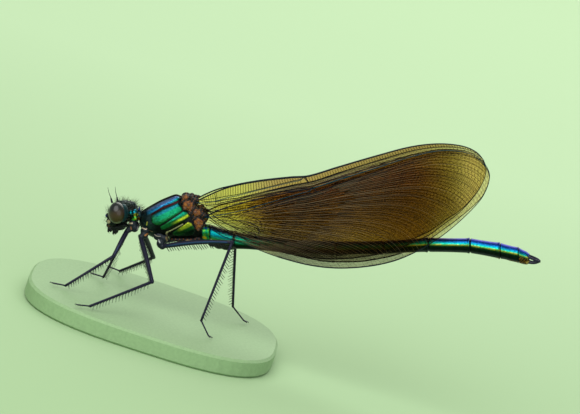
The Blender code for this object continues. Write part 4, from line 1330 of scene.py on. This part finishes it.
def add_ball(pile, centre, radius, index=0):
    data = bmesh.new()
    bmesh.ops.create_icosphere(data, subdivisions=2, radius=radius * MM)
    verts = [np.array(v.co) + np.array(centre) for v in data.verts]
    faces = [tuple(v.index for v in f.verts) for f in data.faces]
    data.free()
    pile.add(verts, faces, index)


def add_spines(pile, line, wide, rows, count, length, draw, index):
    """Rows of bristles that stand off a leg's stretch and lean to its tip."""
    line = np.asarray(line)
    along = (line[-1] - line[0]) / np.linalg.norm(line[-1] - line[0])
    up = np.array((0.0, 0.0, 1.0))
    across = np.cross(along, up)
    across /= np.linalg.norm(across)
    under = np.cross(across, along)
    if under[2] > 0:
        under = -under
    for k in range(count):
        f = (k + 0.5 + draw.uniform(-0.15, 0.15)) / count * 0.92 + 0.05
        steps = np.linspace(0.0, 1.0, len(line))
        spot = np.array([np.interp(f, steps, line[:, c]) for c in range(3)])
        radius = float(np.interp(f, steps, wide)) * MM
        reach = length * draw.uniform(0.8, 1.1) * MM * (1.0 - 0.35 * abs(2 * f - 1))
        for turn in rows:
            out = under * math.cos(turn) + across * math.sin(turn)
            root = spot + out * radius * 0.8
            tip = root + (out * 0.85 + along * 0.5) * reach
            pile.tube((root, (root + tip) / 2, tip), (0.032 * MM, 0.027 * MM, 0.014 * MM), 4, index)


def add_keel(pile, line, wide, side):
    """A ridge along the outer face of a leg's stretch, in a lighter blue that is a painted sheen along the leg."""
    line = np.asarray(line)
    out = np.array((0.0, math.copysign(1.0, side), 0.12))
    ridge = line + out * (np.asarray(wide)[:, None] * 0.70 * MM)
    pile.tube(ridge[1:-1], np.asarray(wide)[1:-1] * 0.42 * MM, 8, 2)


def build_leg(name, leg, material, draw):
    pile = Pile()
    trochanter, knee, ankle, toe = leg_path(leg)
    top = trochanter.lerp(knee, -0.07 if name.startswith("mid") else 0.0)
    add_ball(pile, top, 0.23)
    long_leg = name.startswith("hind")
    line, wide = stretch_tube(pile, top, knee, (0.23, 0.275, 0.27, 0.25, 0.22, 0.22), 14,
                              0.26 if long_leg else 0.10)
    add_keel(pile, line, wide, leg[0][1])
    add_ball(pile, knee, 0.22)
    add_spines(pile, line, wide, (-0.10, 0.10), 27 if long_leg else 17, 0.74, draw, 1)
    line, wide = stretch_tube(pile, knee, ankle, (0.175, 0.155, 0.145, 0.135, 0.14), 10, 0.0)
    add_ball(pile, ankle, 0.14)
    rows = (-1.3, -0.8) if name == "hind_left" else (-0.6, 0.6)
    add_spines(pile, line, wide, rows, 26 if long_leg else 18, 0.70, draw, 1)
    middle = ankle.lerp(toe, 0.80 if long_leg else 0.45)
    middle.z = (FLOOR_OF_FEET + 0.12) * MM
    stretch_tube(pile, ankle, middle, (0.095, 0.08, 0.085), 8)
    line, wide = stretch_tube(pile, middle, toe, (0.085, 0.07, 0.075, 0.06), 8)
    add_spines(pile, line, wide, (-1.2, 1.2), 5, 0.22, draw, 1)
    ahead = (toe - middle).normalized()
    side = Vector((-ahead.y, ahead.x, 0.0))
    for turn in (-1, 1):
        claw = [toe, toe + (ahead * 0.12 + side * 0.10 * turn + Vector((0, 0, 0.05))) * MM,
                toe + (ahead * 0.24 + side * 0.13 * turn - Vector((0, 0, 0.05))) * MM]
        pile.tube(claw, (0.04 * MM, 0.03 * MM, 0.008 * MM), 6)
    made = pile.build(f"leg_{name}_skin", material)
    pieces = [f"{part}_{name}" for part in ("femur", "tibia", "tarsus")]
    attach(made, "root")
    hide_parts(*pieces)


class HairPile(Pile):
    """Tapered hairs, each unwrapped as a small patch at its root's place on the body."""

    PATCH = 0.003

    def __init__(self):
        super().__init__()
        self.places = []

    def hair(self, root, way, length, width, bend):
        root, way = np.array(root), np.array(way)
        across = np.cross(way, (0.3, 0.9, 0.2))
        across /= np.linalg.norm(across)
        other = np.cross(way, across)
        middle = root + way * length * 0.55
        tip = root + way * length + bend * length
        verts, faces = [], []
        for centre, size in ((root - way * 0.05 * MM, width), (middle, width * 0.7)):
            for k in range(3):
                angle = 2 * math.pi * k / 3
                verts.append(centre + (across * math.cos(angle) + other * math.sin(angle)) * size)
        verts.append(tip)
        for k in range(3):
            j = (k + 1) % 3
            faces.append((k, j, 3 + j, 3 + k))
            faces.append((3 + k, 3 + j, 6))
        faces.append((2, 1, 0))
        self.add(verts, faces)
        u = (root[0] / MM + ORIGIN_X + 8.0) / 50.0
        v = 0.5 + math.atan2(root[1], root[2] - (LIFT - 1.0) * MM) / (2 * math.pi) * 0.98
        corner = self.PATCH
        self.places += [(u, v), (u + corner, v), (u, v + corner), (u, v), (u + corner, v),
                        (u, v + corner), (u + corner, v + corner)]

    def build_hairs(self, name, material):
        made = self.build(name, [material])
        layer = made.data.uv_layers.new(name="OFBake")
        corner_verts = np.empty(len(made.data.loops), dtype=np.int32)
        made.data.loops.foreach_get("vertex_index", corner_verts)
        layer.data.foreach_set("uv", np.array(self.places)[corner_verts].ravel())
        return made


def scatter_hairs(pile, piece, count, draw, chooser, length, lean, width=0.012):
    """Sets hairs on random points of a piece that the chooser accepts."""
    mesh = piece.data
    tries = 0
    planted = 0
    while planted < count and tries < count * 60:
        tries += 1
        vert = mesh.vertices[draw.randrange(len(mesh.vertices))]
        spot = np.array(vert.co)
        normal = np.array(vert.normal)
        chance = chooser(spot, normal)
        if draw.random() > chance:
            continue
        jitter = np.array([draw.gauss(0, 0.22) for _ in range(3)])
        way = normal + np.array(lean) + jitter
        way /= np.linalg.norm(way)
        bend = np.array([draw.gauss(0, 0.06) for _ in range(3)])
        pile.hair(spot, way, length * draw.uniform(0.6, 1.25) * MM, width * MM, bend)
        planted += 1


def build_hairs(pieces, material):
    draw = random.Random(7)
    pile = HairPile()
    head, thorax = pieces["head_skin"], pieces["thorax_skin"]
    front, mouth = pieces["prothorax_skin"], pieces["mouth_skin"]

    def upper(spot, normal):
        return 1.0 if normal[2] > 0.35 else 0.12

    def crest(spot, normal):
        return 1.0 if normal[2] > 0.55 and abs(spot[1]) < 1.0 * MM else (0.10 if normal[2] > -0.2 else 0.25)

    def anywhere(spot, normal):
        return 1.0

    scatter_hairs(pile, head, 380, draw, upper, 0.60, (0.1, 0.0, 0.35), 0.011)
    scatter_hairs(pile, head, 140, draw, anywhere, 0.34, (-0.2, 0.0, 0.0), 0.011)
    scatter_hairs(pile, mouth, 90, draw, anywhere, 0.34, (-0.2, 0.0, -0.3), 0.013)
    scatter_hairs(pile, thorax, 620, draw, crest, 0.85, (-0.25, 0.0, 0.2), 0.015)
    scatter_hairs(pile, front, 130, draw, upper, 0.6, (-0.1, 0.0, 0.2), 0.014)
    return pile.build_hairs("hairs", material)


def build_body():
    skins = {
        "head": metal_skin("skin_head", 0.45, 0.38, 0.15, 9.0, 0.0),
        "thorax": metal_skin("skin_thorax", 0.92, 0.32, 0.45, 5.0, 0.0, 0.80),
        "abdomen": metal_skin("skin_abdomen", 0.92, 0.34, 0.30, 5.0, 0.0, 0.75),
        "hinge": metal_skin("skin_hinge", 0.0, 0.55, 0.5, 8.0, 0.0),
        "hip": metal_skin("skin_hip", 0.25, 0.40, 0.3, 9.0, 0.0),
    }
    black = plain_material("limb_black", (0.013, 0.013, 0.031), 0.40, 0.4, 14.0, 0.3, 0.0, gloss=0.2)
    # The keel's lighter blue is a painted sheen on a real ridge.
    keel = plain_material("limb_blue_sheen", (0.020, 0.050, 0.125), 0.38, 0.7, 14.0, 0.3, 0.0, gloss=0.2)
    spine = plain_material("spine_black", (0.012, 0.012, 0.014), 0.45, 0.0, 14.0)
    pieces = {}
    for made in (build_head(skins) + build_thorax(skins) + build_neck_and_hinges(skins)
                 + build_abdomen(skins) + build_hips(skins)):
        pieces[made.name] = made
    stands_for = {
        "head_skin": ("head", "head_dark"), "mouth_skin": ("mouthparts", "black"),
        "thorax_skin": ("thorax", "body_green"), "prothorax_skin": ("prothorax", "body_green"),
        "hinge_skin": ("thorax", "body_green"), "pouch_skin": ("abdomen_2", "black"),
    }
    for name, (node, slot) in stands_for.items():
        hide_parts(node)
    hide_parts(*[f"abdomen_{n}" for n in range(1, 11)])
    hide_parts(*[f"coxa_{name}" for name in LEGS])
    loose = build_eyes(eye_material()) + build_antennae(black) + build_claspers(black)
    fuzz = plain_material("hair_grey", (0.045, 0.042, 0.040), 0.6, 0.0, 14.0, gloss=0.1)
    hairs = build_hairs(pieces, fuzz)
    for piece in list(pieces.values()) + loose + [hairs]:
        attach(piece, "root")
    draw = random.Random(23)
    for name, leg in LEGS.items():
        build_leg(name, leg, [black, spine, keel], draw)


def dress_base():
    """The base keeps its solid and gets a pale satin finish."""
    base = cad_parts["stand_base"]
    material = plain_material("base_satin", (0.25, 0.38, 0.20), 0.6, 0.0, 3.0, 0.05, 0.0, 0.06)
    base.data.materials.clear()
    base.data.materials.append(material)


def set_camera():
    data = bpy.data.cameras.new("camera")
    data.sensor_width = SENSOR
    data.lens = SENSOR * CAMERA_DISTANCE / (PICTURE_WIDTH * MM_PER_PIXEL)
    data.clip_start = 0.01
    data.clip_end = 20.0
    camera = bpy.data.objects.new("camera", data)
    bpy.context.collection.objects.link(camera)
    ahead = Vector((0.0, math.cos(CAMERA_RISE), -math.sin(CAMERA_RISE)))
    level_right = Vector((1.0, 0.0, 0.0))
    level_up = level_right.cross(ahead)
    right = level_right * math.cos(CAMERA_ROLL) + level_up * math.sin(CAMERA_ROLL)
    up = level_up * math.cos(CAMERA_ROLL) - level_right * math.sin(CAMERA_ROLL)
    across = (PICTURE_WIDTH / 2 - THORAX_PIXEL[0]) * MM_PER_PIXEL * MM
    above = (THORAX_PIXEL[1] - PICTURE_HEIGHT / 2) * MM_PER_PIXEL * MM
    target = place((0.0, 0.0, 0.0)) + right * across + up * above
    camera.matrix_world = Matrix.Translation(target - ahead * CAMERA_DISTANCE * MM) @ Matrix(
        (right, up, -ahead)).transposed().to_4x4()
    bpy.context.scene.camera = camera
    bpy.context.scene.view_settings.view_transform = "Standard"
    return target


def set_stage(target):
    bpy.ops.mesh.primitive_plane_add(size=6.0, location=(0.0, 0.0, 0.0))
    floor = bpy.context.object
    floor.name = "floor"
    material, nodes, links, shader = new_material("floor_pale")
    spot = nodes.new("ShaderNodeTexCoord")
    axes = nodes.new("ShaderNodeSeparateXYZ")
    links.new(spot.outputs["Object"], axes.inputs["Vector"])
    reach = nodes.new("ShaderNodeMapRange")
    reach.inputs["From Min"].default_value = -0.10
    reach.inputs["From Max"].default_value = 0.14
    links.new(axes.outputs["Y"], reach.inputs["Value"])
    ramp = nodes.new("ShaderNodeValToRGB")
    ramp.color_ramp.elements[0].color = (0.305, 0.44, 0.245, 1.0)
    ramp.color_ramp.elements[1].color = (0.46, 0.61, 0.395, 1.0)
    links.new(reach.outputs["Result"], ramp.inputs["Fac"])
    away = nodes.new("ShaderNodeVectorMath")
    away.operation = "LENGTH"
    links.new(spot.outputs["Object"], away.inputs[0])
    distance = nodes.new("ShaderNodeMapRange")
    distance.inputs["From Min"].default_value = 0.45
    distance.inputs["From Max"].default_value = 1.3
    links.new(away.outputs["Value"], distance.inputs["Value"])
    lighter = nodes.new("ShaderNodeMix")
    lighter.data_type = "RGBA"
    lighter.inputs["B"].default_value = (0.60, 0.84, 0.48, 1.0)
    links.new(distance.outputs["Result"], lighter.inputs["Factor"])
    links.new(ramp.outputs["Color"], lighter.inputs["A"])
    links.new(lighter.outputs["Result"], shader.inputs["Base Color"])
    glow = nodes.new("ShaderNodeMapRange")
    glow.inputs["From Min"].default_value = 0.30
    glow.inputs["From Max"].default_value = 0.70
    glow.inputs["To Max"].default_value = 0.37
    links.new(away.outputs["Value"], glow.inputs["Value"])
    links.new(glow.outputs["Result"], shader.inputs["Emission Strength"])
    shader.inputs["Emission Color"].default_value = (0.76, 1.0, 0.64, 1.0)
    set_values(shader, roughness=0.9, specular_ior_level=0.1)
    floor.data.materials.append(material)
    world = bpy.data.worlds.new("world")
    bpy.context.scene.world = world
    world.use_nodes = True
    background = world.node_tree.nodes["Background"]
    background.inputs["Color"].default_value = (0.86, 1.0, 0.80, 1.0)
    background.inputs["Strength"].default_value = 0.42
    lamps = (
        ("key", (-0.16, -0.30, 0.36), 0.55, 2.5, (1.0, 0.99, 0.96)),
        ("fill", (0.22, -0.34, 0.12), 0.45, 0.6, (0.95, 1.0, 1.0)),
        ("back", (0.05, 0.32, 0.30), 0.45, 1.2, (1.0, 1.0, 0.95)),
    )
    for name, spot, size, power, colour in lamps:
        data = bpy.data.lights.new(name, "AREA")
        data.shape = "DISK"
        data.size = size
        data.energy = power
        data.color = colour
        lamp = bpy.data.objects.new(name, data)
        lamp.location = spot
        lamp.rotation_euler = (target - Vector(spot)).to_track_quat("-Z", "Y").to_euler()
        bpy.context.collection.objects.link(lamp)


def main():
    target = set_camera()
    set_stage(target)
    build_wings()
    build_body()
    dress_base()


main()
